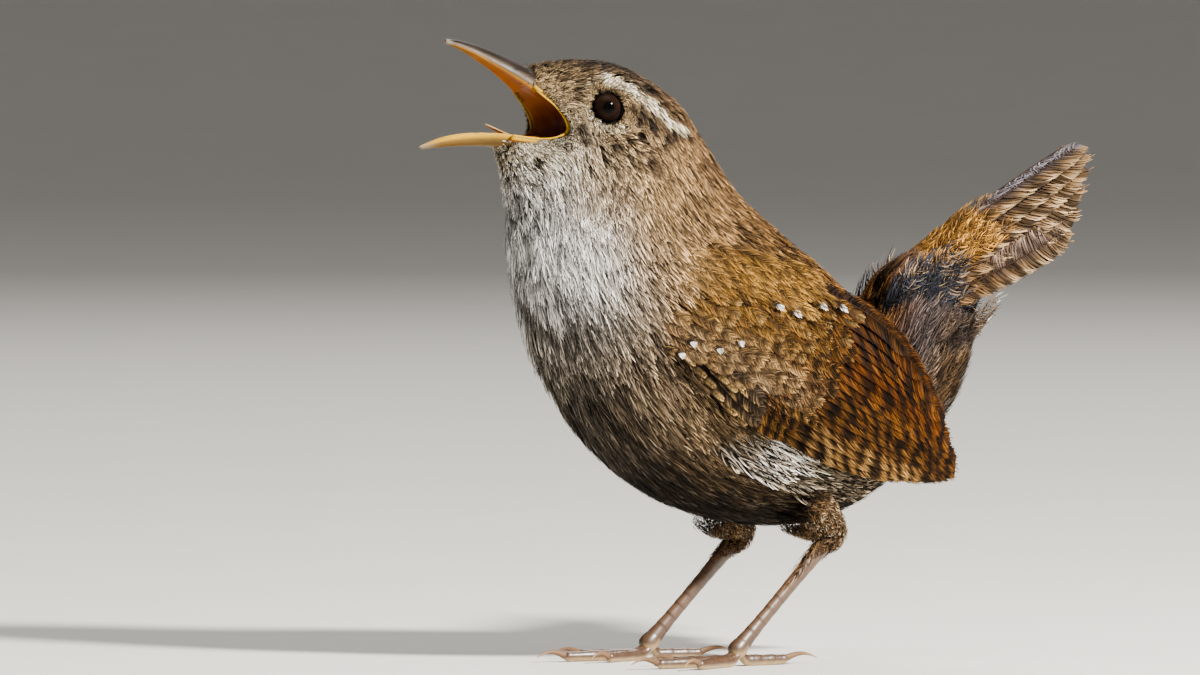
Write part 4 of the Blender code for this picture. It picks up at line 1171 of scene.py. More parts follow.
def tail_sheet(k, side):
    """The surface of the rectrix number k from the middle: millimetres along and across it."""
    f = k / (TAIL_SIDE - 1)
    even = f**0.9
    root = mix(np.array(TAIL_ROOT[0]), np.array(TAIL_ROOT[1]), even)
    middle = mix(np.array(TAIL_MID[0]), np.array(TAIL_MID[1]), even)
    tip = mix(np.array(TAIL_TIP[0]), np.array(TAIL_TIP[1]), f**1.5)
    control = 2 * middle - 0.5 * (root + tip)
    out = mix(*TAIL_SPREAD, even)
    roll = math.radians(mix(*TAIL_ROLL, f))
    length = math.dist(root, tip)
    normal = unit(np.array([side * math.sin(roll), -0.55 * math.cos(roll), 0.83 * math.cos(roll)]))

    def centre(s):
        s = s[..., None]
        path = (1 - s) ** 2 * root + 2 * s * (1 - s) * control + s * s * tip
        x = side * (0.35 + out * np.clip(1.25 * s, 0.0, 1) ** 0.8)
        return np.concatenate([x, path], -1)

    def at(u, v):
        s = np.asarray(u, float) / length
        here = centre(s)
        across = unit(np.cross(centre(s + 0.02) - centre(s - 0.02), normal))
        bow = -0.06 * np.asarray(v) ** 2
        return here + across * np.asarray(v)[..., None] + normal * bow[..., None]

    return Sheet(at, -1), length, mix(5.4, 4.3, f)


TAIL_TAN = tone(170, 130, 82)
TAIL_EDGE = tone(214, 184, 142)
# A painted sheen: the blue-grey reflection along the tail's upper feathers.
TAIL_PAINTED_SHEEN = tone(134, 130, 142)


def rectrix_colours(k, side):
    """Tan feathers with dark bars; outer edges turn from pale to dark with every bar."""

    def paint(view):
        outer = smooth(-0.1, 0.5, view.q * side)
        edge = smooth(0.5, 0.85, view.q * side)
        wave = 0.3 * view.q * side + 0.23 * k + 0.2 * np.sin(9 * view.s + 2 * k)
        bars = pulse((1 - view.s) * 12 + wave, 0.46)
        # Painted sheen, strongest on the inner webs of the middle pairs.
        painted_sheen = (1 - outer) * (0.75 if k < 2 else 0.35) + 0.2 * view.spark
        colour = tint(TAIL_TAN, TAIL_PAINTED_SHEEN, np.clip(painted_sheen, 0, 1))
        colour = tint(colour, TAIL_EDGE, 0.55 * edge)
        colour = tint(colour, RUMP_RUFOUS, 0.75 * (1 - smooth(0.35, 0.75, view.s)))
        dark = bars * (0.75 + 0.2 * edge - 0.35 * (1 - outer) * (k < 2))
        colour = tint(colour, TAIL_BLACK, dark)
        return lit(colour, view, 0.55)

    return paint


def tail_side(run, turn, near, far, first, last):
    """Places round the tail's axis, run millimetres along it."""
    share = (run - first) / (last - first)
    aside = mix(near[0], far[0], share)
    above = mix(near[1], far[1], share)
    rise = np.cos(turn) * above
    x = np.sin(turn) * aside
    ca, sa = math.cos(TAIL_PITCH), math.sin(TAIL_PITCH)
    return np.stack([x, TAIL_AXIS[0] + run * ca - rise * sa, TAIL_AXIS[1] + run * sa + rise * ca], -1)


# Plumes round the root of the tail: name, run and turn of the roots, their number, length, half
# width, looseness, and the shape of the sheet they lie on.
TAIL_PLUMES = (
    ("upper", (1.0, 12.5), (-1.9, 1.9), 130, 7.6, 1.1, 0.5, ((3.5, 2.9), (4.8, 3.0), 4.0, 18.5)),
    ("under", (-2.0, 6.0), (2.35, 3.93), 60, 8.0, 1.5, 1.1, ((7.8, 11.4), (6.6, 7.9), 0.0, 13.0)),
    ("side", (-1.0, 5.0), (1.3, 2.5), 40, 8.0, 1.3, 1.6, ((4.9, 7.4), (4.4, 6.4), 0.0, 13.0)),
    ("side", (-1.0, 5.0), (3.78, 4.98), 40, 8.0, 1.3, 1.6, ((4.9, 7.4), (4.4, 6.4), 0.0, 13.0)),
)


# So close that every try of the plumes' number is kept.
PLUMES_APART = 0.01


def plume_colours(name):
    """Colours of one kind of plume round the tail."""

    def paint(view):
        s = view.s
        if name == "upper":
            colour = 1.3 * mix(RUMP_RUFOUS, COVERT_GOLD, 0.6 + 0 * s[..., None])
            dark = 0.6 * pulse(s * 2.4 + 0.4 * view.luck, 0.34) * smooth(0.3, 0.5, s)
            pale = 0.2 * smooth(0.8, 1.0, s) * view.spark
            tip_ink = SPOT_BUFF
        elif name == "under":
            run = view.middle[..., 0]
            colour = tint(DOWN_GREY, VENT_BROWN, 0.25 + 0.6 * smooth(6.5, 11, run))
            dark = 0.8 * pulse(s * 2.8 + 0.3 * view.luck, 0.46) * smooth(0.2, 0.4, s)
            pale = 0.9 * smooth(0.88, 0.97, s) * (view.luck > 0.6)
            tip_ink = SPOT_WHITE
        else:
            colour = DOWN_GREY + 0 * s[..., None]
            dark = 0.5 * (1 - smooth(0.1, 0.5, view.spark)) + 0 * s
            pale = 0.5 * smooth(0.45, 0.9, s) * smooth(0.75, 0.95, view.spark)
            tip_ink = SPOT_BUFF * 0.7
        colour = tint(colour, TAIL_BLACK, dark)
        colour = tint(colour, tip_ink, pale)
        return lit(colour, view, 1.0, 1.25)

    return paint


def plume_unwrap(run, turn):
    return 0.05 + 0.9 * ((turn / 7 + 0.3) % 1), 0.4 + 0.02 * (run + 3)


def rectrix_unwrap(k, side):
    return lambda u, v: (0.05 + 0.07 * (k + (side > 0) * TAIL_SIDE) + 0 * u, 0.1 + 0 * u)


def lay_rectrices(pile, dice):
    """The tail's own feathers, from the middle pair outwards."""
    for k in range(TAIL_SIDE):
        for side in (1, -1):
            sheet, length, width = tail_sheet(k, side)
            shaft = [[(0.5, 0.0), (length / 2, 0.15 * side), (length, 0.0)]]
            feather = Feathers(
                sheet, shaft, width / 2, 0.0, 0.0, dice, count=110, sweep=0.15, strand=0.085,
                taper=0.55, loose=0.16, swell=0.5, tip=0.12, climb=1.0, fray=0.12,
            )
            pile.lay(feather, rectrix_colours(k, side), rectrix_unwrap(k, side), True, 0.2, QUILL_BROWN)


def lay_tail_plumes(pile, dice):
    """The coverts over and under the tail, and the down at its sides."""
    for name, runs, turns, many, length, half, loose, shape in TAIL_PLUMES:
        sheet = Sheet(lambda u, v, shape=shape: tail_side(u, v, *shape), -1)
        u, v = scatter(sheet, many, runs, turns, PLUMES_APART, dice)
        size = dice.uniform(0.8, 1.15, len(u))
        way = dice.normal(0, 0.06 + 0.12 * loose, len(u))
        plumes = Feathers(
            sheet, straight_shafts(sheet, u, v, length * size, way), half * size, -0.8,
            0.1 + 0.5 * loose * dice.uniform(0, 1, len(u)), dice, count=22, sweep=0.5, strand=0.05,
            loose=0.5 * loose, swell=0.5, tip=0.3, fray=0.5 * loose,
        )
        pile.lay(plumes, plume_colours(name), plume_unwrap)


def make_tail(finish):
    dice = np.random.default_rng(TAIL_SEED)
    pile = Pile("tail", finish, "wing", ("tail",))
    lay_rectrices(pile, dice)
    lay_tail_plumes(pile, dice)
    pile.done()


# Thighs


THIGH_BROWN = tone(118, 88, 58)


def thigh_sheet(leg):
    """The drumstick's surface: stations from the hip to below the heel, and the turn round it."""
    hip, heel, foot = (np.array(leg[name]) for name in ("hip", "heel", "foot"))
    shin = (foot - heel) / np.linalg.norm(foot - heel)
    path = [hip, mix(hip, heel, 0.35), mix(hip, heel, 0.65), mix(hip, heel, 0.9) + 0.3 * shin]
    path += [heel + reach * shin for reach in (1.1, 2.6, 4.4, 6.4, 8.4)]
    rows = [(*p, r) for p, r in zip(path, (4.4, 3.8, 3.0, 2.1, 1.6, 1.1, 0.9, 0.8, 0.8))]

    def at(u, v):
        u, v = np.broadcast_arrays(np.asarray(u, float), np.asarray(v, float))
        here = curve_through(rows, u)
        ahead = curve_through(rows, u + 0.05) - curve_through(rows, u - 0.05)
        ahead = unit(ahead[..., :3])
        across = unit(np.array([1.0, 0, 0]) - ahead * ahead[..., :1])
        out = 0.9 * across * np.cos(v)[..., None] + np.cross(ahead, across) * np.sin(v)[..., None]
        return here[..., :3] + here[..., 3:] * out

    return Sheet(at, -1)


def thigh_colours(view):
    colour = tint(THIGH_BROWN, VENT_BROWN, view.luck + 0 * view.s)
    dark = 0.7 * pulse(view.s * 2.3 + 0.4 * view.luck, 0.4)
    colour = tint(colour, DARK_BROWN, dark)
    pale = 0.8 * smooth(0.75, 0.95, view.s) * (1 - smooth(3.6, 4.6, view.middle[..., 0]))
    colour = tint(colour, FLANK_SILVER, pale * (0.3 + 0.7 * view.spark))
    return lit(colour, view)


def thigh_unwrap(side):
    return lambda u, v: (0.25 + 0.5 * (side > 0) + 0.03 * v, 0.86 + 0.02 * u)


def make_thigh_coat(finish):
    """The short hairy feathers of both thighs."""
    dice = np.random.default_rng(THIGH_SEED)
    pile = Pile("coat_thighs", finish, "plumage")
    for side, leg in ((1, LEGS["left"]), (-1, LEGS["right"])):
        sheet = thigh_sheet(leg)
        u, v = scatter(sheet, 900, (0.9, 4.9), (-math.pi, math.pi), 0.62, dice)
        small = smooth(5.2, 2.5, u)
        size = mix(0.45, 1.0, small) * dice.uniform(0.85, 1.15, len(u))
        shafts = straight_shafts(sheet, u, v, 3.6 * size, dice.normal(0, 0.14, len(u)))
        hair = Feathers(
            sheet, shafts, 0.62 * size, -0.3, 0.05 + 0.25 * dice.uniform(0, 1, len(u)) * small, dice,
            count=7, sweep=0.5, strand=0.045, loose=0.5, swell=0.45, tip=0.3, fray=0.2,
        )
        pile.lay(hair, thigh_colours, thigh_unwrap(side))
    pile.done()


# Horn, skin and eyes, shaped in edit mode


def add_shape(kind, name, **settings):
    """A new piece from a primitive, alone in the selection."""
    bpy.ops.object.select_all(action="DESELECT")
    getattr(bpy.ops.mesh, f"primitive_{kind}_add")(**settings)
    piece = bpy.context.object
    piece.name = name
    return piece


def apply_all(piece):
    for modifier in list(piece.modifiers):
        bpy.ops.object.modifier_apply(modifier=modifier.name)


def edit(step, **settings):
    """One step in edit mode, on all of the active piece."""
    bpy.ops.object.mode_set(mode="EDIT")
    bpy.ops.mesh.select_all(action="SELECT")
    step(**settings)
    bpy.ops.object.mode_set(mode="OBJECT")


def swept(name, profile, stations, smoothing=1):
    """A closed bar in the plane x = 0, extruded ring by ring from a shaped circle.

    Each station gives y, z, the lean of the ring's own upright, half width and half depth.
    """
    piece = add_shape("circle", name, vertices=len(profile), radius=1, fill_type="NGON")
    for vert, (across, up) in zip(piece.data.vertices, profile):
        vert.co = (across, up, 0)
    y, z, lean, half, deep = stations[0]
    bpy.ops.object.mode_set(mode="EDIT")
    bpy.ops.mesh.select_all(action="SELECT")
    bpy.ops.transform.resize(value=(half, deep, 1), center_override=(0, 0, 0))
    turn_about_x(lean, (0, 0, 0))
    bpy.ops.transform.translate(value=(0, y, z))
    for (y0, z0, lean0, half0, deep0), (y, z, lean, half, deep) in zip(stations, stations[1:]):
        bpy.ops.mesh.extrude_region_move(TRANSFORM_OT_translate={"value": (0, y - y0, z - z0)})
        bpy.ops.transform.resize(
            value=(half / half0, deep / deep0, deep / deep0), center_override=(0, y, z)
        )
        if abs(lean - lean0) > 1e-5:
            turn_about_x(lean - lean0, (0, y, z))
    bpy.ops.object.mode_set(mode="OBJECT")
    edit(bpy.ops.mesh.normals_make_consistent, inside=False)
    piece.modifiers.new("smooth", "SUBSURF").levels = smoothing
    apply_all(piece)
    bpy.ops.object.shade_smooth()
    return piece


def turn_about_x(angle, centre):
    bpy.ops.transform.rotate(value=-angle, orient_axis="X", center_override=centre)


def settle(piece, finish, paint, replaces=(), turn=0.0, spot=(0, 0, 0)):
    """Turns a piece about the upright, moves it to its spot, and paints it by place."""
    move = Matrix.Translation(Vector(spot) + Vector((0, SHIFT, 0)))
    piece.data.transform(Matrix.Scale(MM, 4) @ move @ Matrix.Rotation(turn, 4, "Z"))
    points = np.empty(3 * len(piece.data.vertices), np.float32)
    piece.data.vertices.foreach_get("co", points)
    points = points.reshape(-1, 3) / MM - (0, SHIFT, 0)
    normals = np.empty(points.size, np.float32)
    piece.data.vertices.foreach_get("normal", normals)
    paint_on(piece.data, paint(points, normals.reshape(-1, 3)))
    fit_on(piece, finish, replaces)


def mirrored_profile(half):
    """A closed outline from its right half, listed from the ridge round to the hollow."""
    return [*half, *[(-x, y) for x, y in half[-2:0:-1]]]


# Rows of a bill from its root to its tip: ridge y and z, cutting edge y and z, half width.
UPPER_BILL = (
    (-21.3, 67.9, -21.7, 64.2, 3.2),
    (-22.9, 68.5, -23.4, 65.8, 2.9),
    (-26.0, 69.8, -26.2, 67.8, 1.9),
    (-29.1, 70.95, -29.5, 69.75, 1.2),
    (-31.5, 71.6, -31.7, 70.8, 0.72),
    (-33.2, 71.8, -33.3, 71.3, 0.3),
)
LOWER_BILL = (
    (-22.3, 58.8, -21.8, 60.4, 3.0),
    (-25.2, 59.2, -24.3, 60.7, 2.7),
    (-27.6, 59.5, -27.3, 61.1, 2.05),
    (-30.6, 59.6, -30.9, 61.0, 1.3),
    (-33.7, 59.5, -33.8, 60.5, 0.72),
    (-36.5, 59.2, -36.5, 59.6, 0.28),
)
BILL_STEPS = 17
NOSTRIL = (1.75, -25.4, 68.3)
NOSTRIL_LENGTH = 1.3
NOSTRIL_SHAPE = (0.34, 1.0, 0.24)
NOSTRIL_SLOPE = math.radians(-28)
# The upper bill starts this far along its rows, flush with the lining of the mouth.
BILL_ROOT = 0.75
TONGUE = ((-21.2, 60.5), (-24.6, 60.6), (-28.3, 62.1))
UPPER_SECTION = (
    (0, 1), (0.25, 0.97), (0.46, 0.84), (0.64, 0.6), (0.8, 0.25), (0.92, -0.2), (0.98, -0.62),
    (0.98, -1.0), (0.86, -1.02), (0.68, -0.7), (0.42, -0.42), (0.2, -0.34), (0, -0.4),
)
LOWER_SECTION = (
    (0, 1), (0.28, 0.94), (0.52, 0.76), (0.72, 0.5), (0.88, 0.14), (0.97, -0.3), (1.0, -0.72),
    (0.97, -1.0), (0.84, -1.0), (0.68, -0.55), (0.44, -0.1), (0.22, 0.08), (0, 0.14),
)
CULMEN_DARK = tone(27, 21, 18)
BILL_SIDE = tone(60, 45, 28)
CUTTING_TAN = tone(112, 78, 14)
BILL_TIP = tone(104, 96, 84)
MOUTH_ORANGE = tone(134, 72, 0)
MOUTH_DEEP = tone(74, 14, 4)
GAPE_YELLOW = tone(168, 128, 0)
LOWER_PINK = tone(96, 72, 34)


def bill_stations(rows, start):
    stations = []
    for s in steps(BILL_STEPS):
        found = curve_through(rows, mix(start, len(rows) - 1, s))
        ridge_y, ridge_z, edge_y, edge_z, half = (float(v) for v in found)
        up_y, up_z = (ridge_y - edge_y) / 2, (ridge_z - edge_z) / 2
        middle = ((ridge_y + edge_y) / 2, (ridge_z + edge_z) / 2)
        stations.append((*middle, math.atan2(up_z, up_y), half, math.hypot(up_y, up_z)))
    return stations


def bill_shares(rows, points):
    """How far points lie along a bill and up from its cutting edge, both as shares."""
    t = np.linspace(0, len(rows) - 1, 60)
    table = curve_through(rows, t)
    middle = (table[:, 0] + table[:, 2]) / 2
    along = np.interp(-points[:, 1], -middle, t / t[-1])
    found = curve_through(rows, along * t[-1])
    up = (points[:, 2] - found[:, 3]) / (found[:, 1] - found[:, 3])
    return along, up


def upper_bill_colours(points, normals):
    along, up = bill_shares(UPPER_BILL, points)
    colour = tint(BILL_SIDE, CULMEN_DARK, smooth(0.3, 0.7, up))
    colour = tint(colour, CUTTING_TAN, 1 - smooth(0.03, 0.2, up))
    inside = smooth(0.1, 0.5, -normals[:, 2] - 0.25 * normals[:, 1])
    palate = tint(MOUTH_ORANGE, CUTTING_TAN, 0.8 * smooth(0.3, 0.8, along))
    colour = tint(colour, palate, inside)
    # Painted shade: the nostril and the bill just round it painted near black, outside the palate.
    away = np.abs(points[:, 1:] - NOSTRIL[1:]) @ (1.0, 2.2)
    colour = tint(colour, CULMEN_DARK * 0.3, (1 - smooth(0.35, 0.8, away)) * (1 - inside))
    return tint(colour, BILL_TIP, smooth(0.86, 1.0, along))


def lower_bill_colours(points, normals):
    along, up = bill_shares(LOWER_BILL, points)
    colour = tint(GAPE_YELLOW, LOWER_PINK, smooth(0.15, 0.5, up))
    inside = smooth(0.2, 0.6, normals[:, 2]) * smooth(0.02, 0.2, up)
    colour = tint(colour, MOUTH_ORANGE, inside)
    tan = 0.6 * smooth(0.3, 0.7, along) * smooth(0.4, 0.9, up)
    colour = tint(colour, CUTTING_TAN * 0.8, tan)
    return tint(colour, BILL_TIP, 0.8 * smooth(0.8, 1.0, along))


def cut_nostrils(piece):
    """Two slits in the sides of the upper bill, along its ridge."""
    for side in (1, -1):
        _, spot, _, _ = piece.closest_point_on_mesh((side * NOSTRIL[0], *NOSTRIL[1:]))
        slit = add_shape("uv_sphere", "slit", segments=24, ring_count=12, radius=NOSTRIL_LENGTH / 2)
        edit(bpy.ops.transform.resize, value=NOSTRIL_SHAPE, center_override=(0, 0, 0))
        slit.data.transform(Matrix.Translation(spot) @ Matrix.Rotation(NOSTRIL_SLOPE, 4, "X"))
        cut = piece.modifiers.new("slit", "BOOLEAN")
        cut.object = slit
        apply_all(piece)
        bpy.data.objects.remove(slit)


def make_bill(finish):
    section = mirrored_profile(UPPER_SECTION)
    upper = swept("bill_upper", section, bill_stations(UPPER_BILL, BILL_ROOT), 2)
    cut_nostrils(upper)
    settle(upper, finish, upper_bill_colours, ("upper_bill",))
    section = mirrored_profile(LOWER_SECTION)
    lower = swept("bill_lower", section, bill_stations(LOWER_BILL, 0), 2)
    settle(lower, finish, lower_bill_colours, ("lower_bill",))


# The lining's half width and depth behind the gape's line, at each of its places.
LINING = ((3.0, 0.5), (4.15, 1.6), (4.6, 2.6), (4.5, 2.2), (4.0, 1.0), (2.9, 0.4))
LINING_ROWS = 48
LINING_WIDE = 33
LINING_THICK = 0.45
RICTUS_ROWS = 56
RICTUS_AROUND = 12
TONGUE_PINK = tone(150, 120, 78)


def gape_place(p):
    """A place on the gape's line and the direction away from the open mouth there."""
    beyond, before = (curve_through(GAPE_LINE, np.clip(p + step, 0.0, 5.0)) for step in (0.05, -0.05))
    ahead = unit(beyond - before)
    return curve_through(GAPE_LINE, p), np.stack([-ahead[..., 1], ahead[..., 0]], -1)


def lining_at(p):
    """The lining's half width and depth at places on the gape's line."""
    return np.moveaxis(curve_through(LINING, p), -1, 0)


def make_mouth(finish):
    """The lining: a cup from the palate round the throat to the bed of the tongue, with ridges."""
    q, p = np.meshgrid(np.linspace(-1, 1, LINING_WIDE), np.linspace(0, 5, LINING_ROWS))
    here, away = gape_place(p)
    half, deep = lining_at(p)
    ridges = 0.14 * np.exp(-((np.abs(q) - 0.42) / 0.1) ** 2) - 0.2 * np.exp(-((q / 0.09) ** 2))
    depth = deep * (1 - q**2) ** 0.9 - ridges * (1 - smooth(1.6, 2.6, p)) * smooth(0.0, 0.8, p)
    layers = []
    for thick in (0.0, LINING_THICK):
        place_yz = here + away * (depth + thick)[..., None]
        layers.append(np.concatenate([(q * half)[..., None], place_yz], -1))
    throat = np.exp(-(((p - 2.3) / 0.95) ** 2)) * (1 - q**2) ** 0.4
    streak = 0.5 + 0.5 * np.sin(q * 22 + 1.5 * np.sin(p * 2))
    colour = tint(MOUTH_ORANGE, MOUTH_DEEP, np.clip(throat * (0.8 + 0.25 * streak), 0, 1))
    colour = tint(colour, GAPE_YELLOW, smooth(0.93, 1.0, np.abs(q)))
    faces = plate_faces(np.arange(p.size).reshape(p.shape).T)
    mesh_piece(
        "mouth_lining", np.stack(layers).reshape(-1, 3), faces, finish,
        np.stack([colour, colour]).reshape(-1, 3), replaces=("mouth",),
    )
    make_rictus(finish)


def make_rictus(finish):
    """The swollen yellow skin along the corners of the mouth."""
    p = np.linspace(0.15, 5.0, RICTUS_ROWS)
    here, away = gape_place(p)
    half, _ = lining_at(p)
    thick = 0.14 + 0.16 * np.exp(-(((p - 2.6) / 1.0) ** 2)) + 0.08 * smooth(3.4, 4.4, p)
    thick = thick * smooth(0, 0.5, p) * 0.45 + 0.04
    turn = np.linspace(0, 2 * math.pi, RICTUS_AROUND, endpoint=False)
    faces = tube_faces(RICTUS_ROWS, RICTUS_AROUND)
    for side, word in ((1, "left"), (-1, "right")):
        ring_yz = here[:, None] + away[:, None] * (thick[:, None] * np.cos(turn))[..., None]
        x = side * (half[:, None] + thick[:, None] * (0.75 * np.sin(turn) - 0.05))
        points = np.concatenate([x[..., None], ring_yz], -1).reshape(-1, 3)
        mesh_piece(f"rictus_{word}", points, faces[:, ::side], finish, GAPE_YELLOW)


def circle(count):
    """Places on a circle, from the top round to the right."""
    turns = [2 * math.pi * k / count for k in range(count)]
    return [(math.sin(a), math.cos(a)) for a in turns]


def tongue_colours(points, normals):
    return tint(MOUTH_ORANGE, TONGUE_PINK, smooth(-23, -27, points[:, 1]))


def make_tongue(finish):
    """A flat blade with a groove down its middle."""
    stations = []
    for s in steps(13):
        y, z = (float(v) for v in curve_through(TONGUE, 2 * s))
        stations.append((y, z, math.pi / 2, 1.15 * (1 - s) ** 0.6 + 0.12, 0.3 - 0.16 * s))
    section = [(x, up - 0.35 * math.exp(-8 * x**2) * (up > 0)) for x, up in circle(16)]
    tongue = swept("tongue_blade", section, stations)
    settle(tongue, finish, tongue_colours, ("tongue",))


# The ball is smaller than the solid that it stands in for, and touches it at the front.
BALL_RADIUS = 1.92
IRIS_RADIUS = 1.66
PUPIL_RADIUS = 0.66
IRIS_BROWN = tone(23, 14, 9)
LID_BLACK = tone(16, 13, 13)
LID_PALE = tone(120, 124, 134)
# The lid is a ring round the ball: its radius, half thickness, stretch and place along the axis.
LID_RING = 1.79
LID_THICK = 0.17
LID_STRETCH = (1.04, 0.98, 0.9)
LID_FORWARD = 0.92


def towards(axis):
    """The turn from upright to an axis."""
    return Vector(axis).to_track_quat("Z", "Y").to_matrix().to_4x4()


def make_eyeball(word, side, finish):
    """A dark brown iris round a black pupil."""
    centre, axis = eye_axis(side)
    ball = add_shape("uv_sphere", f"eyeball_{word}", segments=96, ring_count=64, radius=BALL_RADIUS)
    bpy.ops.object.shade_smooth()
    ball.data.transform(towards(axis))

    def paint(points, normals):
        away = np.linalg.norm(np.cross(points - centre, axis), axis=1)
        colour = tint(IRIS_BROWN * 0.6, IRIS_BROWN, smooth(PUPIL_RADIUS, 1.2, away))
        colour = tint(0.001, colour, smooth(PUPIL_RADIUS - 0.05, PUPIL_RADIUS + 0.05, away))
        return tint(colour, LID_BLACK * 0.3, smooth(1.52, IRIS_RADIUS, away))

    spot = centre + (EYE_RADIUS - BALL_RADIUS) * axis
    settle(ball, finish, paint, (f"eye_{word}",), spot=spot)


def make_eyelid(word, side, finish):
    """A dark bare rim, a little paler behind the eye."""
    centre, axis = eye_axis(side)
    lid = add_shape(
        "torus", f"eyelid_{word}", major_radius=LID_RING, minor_radius=LID_THICK,
        major_segments=72, minor_segments=12,
    )
    edit(bpy.ops.transform.resize, value=LID_STRETCH, center_override=(0, 0, 0))
    bpy.ops.object.shade_smooth()
    lid.data.transform(towards(axis))

    def paint(points, normals):
        away = points - centre
        behind = smooth(0.6, 1.6, away[:, 1]) * smooth(-1.6, -0.2, away[:, 2])
        return tint(LID_BLACK * 0.6, LID_PALE, 0.2 * behind)

    settle(lid, finish, paint, spot=centre + LID_FORWARD * axis)


# Legs


# Angle of each toe from straight ahead, its length and its claw's.
TOES = {
    "inner": (-24, 7.6, 3.4),
    "middle": (3, 10.8, 3.8),
    "outer": (29, 8.2, 3.3),
    "hind": (184, 6.6, 4.6),
}
TOE_RADIUS = 0.78
TOE_AXIS_HEIGHT = 0.62
SHIN_PINK = tone(80, 57, 40)
SHIN_DARK = tone(32, 20, 14)
SOLE_PALE = tone(168, 138, 92)
CLAW_HORN = tone(104, 78, 58)
CLAW_TIP = tone(150, 124, 98)
ROUND = circle(14)
# Radii of the shank at even steps from the heel to the foot, and its plates and rings.
SHANK_RADII = ((1.0,), (0.86,), (0.78,), (0.76,), (0.8,), (0.98,))
SHANK_PLATES = 9
SHANK_STEPS = 64
# The ankle's knob: places along the shin from the foot, and radii.
ANKLE = ((-1.4, 0.8), (-1.0, 0.98), (-0.4, 1.14), (0.3, 1.2), (0.8, 1.02), (1.1, 0.6), (1.2, 0.25))
TOE_STEPS = 56
TOE_PLATE = 0.95
CLAW_STEPS = 22


def scute_step(value):
    """One plate after another: each swells towards its end and drops to the next."""
    share = value % 1
    return share * (1 - smooth(0.86, 1.0, share))


def pose(run):
    """The turn about the upright and the lean of a bar that runs that way, and its level reach."""
    flat = math.hypot(run.x, run.y)
    return math.atan2(run.x, -run.y), math.atan2(run.z, -flat) - math.pi / 2, flat


def make_shank(word, leg, finish):
    """The bare shank, with plates down its front."""
    heel, foot = Vector(leg["heel"]), Vector(leg["foot"])
    shin = (foot - heel).normalized()
    start, end = heel + shin * 2.2, foot - shin * 0.7
    turn, lean, flat = pose(end - start)
    stations = []
    for s in steps(SHANK_STEPS):
        radius = float(curve_through(SHANK_RADII, 5 * s)[0])
        radius *= 1 + 0.07 * float(scute_step(SHANK_PLATES * s))
        stations.append((-flat * s, (end.z - start.z) * s, lean, 0.84 * radius, radius))
    shank = swept(f"tarsus_{word}", ROUND, stations)

    def paint(points, normals):
        along = (points - np.array(start)) @ np.array(shin) / (end - start).length
        seam = smooth(0.8, 0.97, (SHANK_PLATES * along) % 1)
        front = smooth(-0.5, 0.4, -normals[:, 1])
        colour = tint(SHIN_PINK * 0.8, SHIN_PINK, front)
        colour = tint(colour, SHIN_DARK, 0.6 * seam * (0.4 + 0.6 * front))
        return tint(colour, SHIN_DARK, 0.3 * smooth(0.75, 1.0, along))

    settle(shank, finish, paint, (f"shank_{word}",), turn, start)


def ankle_colours(points, normals):
    below = smooth(0.1, -0.5, normals[:, 2])
    grain = 0.5 + 0.5 * np.sin(points @ (9.0, 11.0, 7.0))
    colour = tint(SHIN_PINK * 0.78, SHIN_PINK * 0.62, grain)
    return tint(colour, SOLE_PALE * 0.8, below)


def make_foot(word, leg, finish, horn):
    """The ankle's knob with the toes and claws round it."""
    foot, heel = Vector(leg["foot"]), Vector(leg["heel"])
    shin = (foot - heel).normalized()
    turn, lean, flat = pose(shin)
    stations = []
    for step, radius in ANKLE:
        stations.append((-flat * step, shin.z * step, lean, 0.9 * radius, radius))
    ankle = swept(f"ankle_{word}", ROUND, stations)
    settle(ankle, finish, ankle_colours, (f"foot_{word}",), turn, foot)
    for toe, (angle, length, claw) in TOES.items():
        heading = leg["side"] * math.radians(angle)
        make_toe(f"{toe}_{word}", foot, heading, length, finish)
        make_claw(f"{toe}_{word}", foot, heading, length, claw, horn)


def ahead_of(foot, heading, points):
    """How far points lie from the foot along a toe's heading."""
    return (points - np.array(foot)) @ (math.sin(heading), -math.cos(heading), 0)


def make_toe(name, foot, heading, length, finish):
    """A toe with three pads below and plates on top, flat where it touches the floor."""
    stations = []
    for s in steps(TOE_STEPS):
        sink = (1 - min(s / 0.22, 1)) ** 2
        plate = float(scute_step(length * s / TOE_PLATE))
        pad = 0.5 + 0.5 * math.cos(2 * math.pi * 3 * s)
        radius = TOE_RADIUS * (0.9 + 0.1 * pad + 0.05 * plate) * (1 - 0.24 * s)
        radius *= math.sqrt(1 - max((s - 0.93) / 0.075, 0) ** 2)
        height = TOE_AXIS_HEIGHT + (foot.z - TOE_AXIS_HEIGHT) * sink
        stations.append((-length * s, height, math.pi / 2, 0.9 * radius, radius))
    toe = swept(f"toe_{name}", ROUND, stations)
    for vert in toe.data.vertices:
        vert.co.z = max(vert.co.z, 0.0)

    def paint(points, normals):
        seam = smooth(0.78, 0.97, (ahead_of(foot, heading, points) / TOE_PLATE) % 1)
        seam = seam * smooth(-0.1, 0.4, normals[:, 2])
        below = smooth(0.0, -0.6, normals[:, 2])
        colour = tint(SHIN_PINK * 0.74, SHIN_DARK, 0.65 * seam)
        return tint(colour, SOLE_PALE, 0.8 * below)

    settle(toe, finish, paint, (), heading, (foot.x, foot.y, 0))


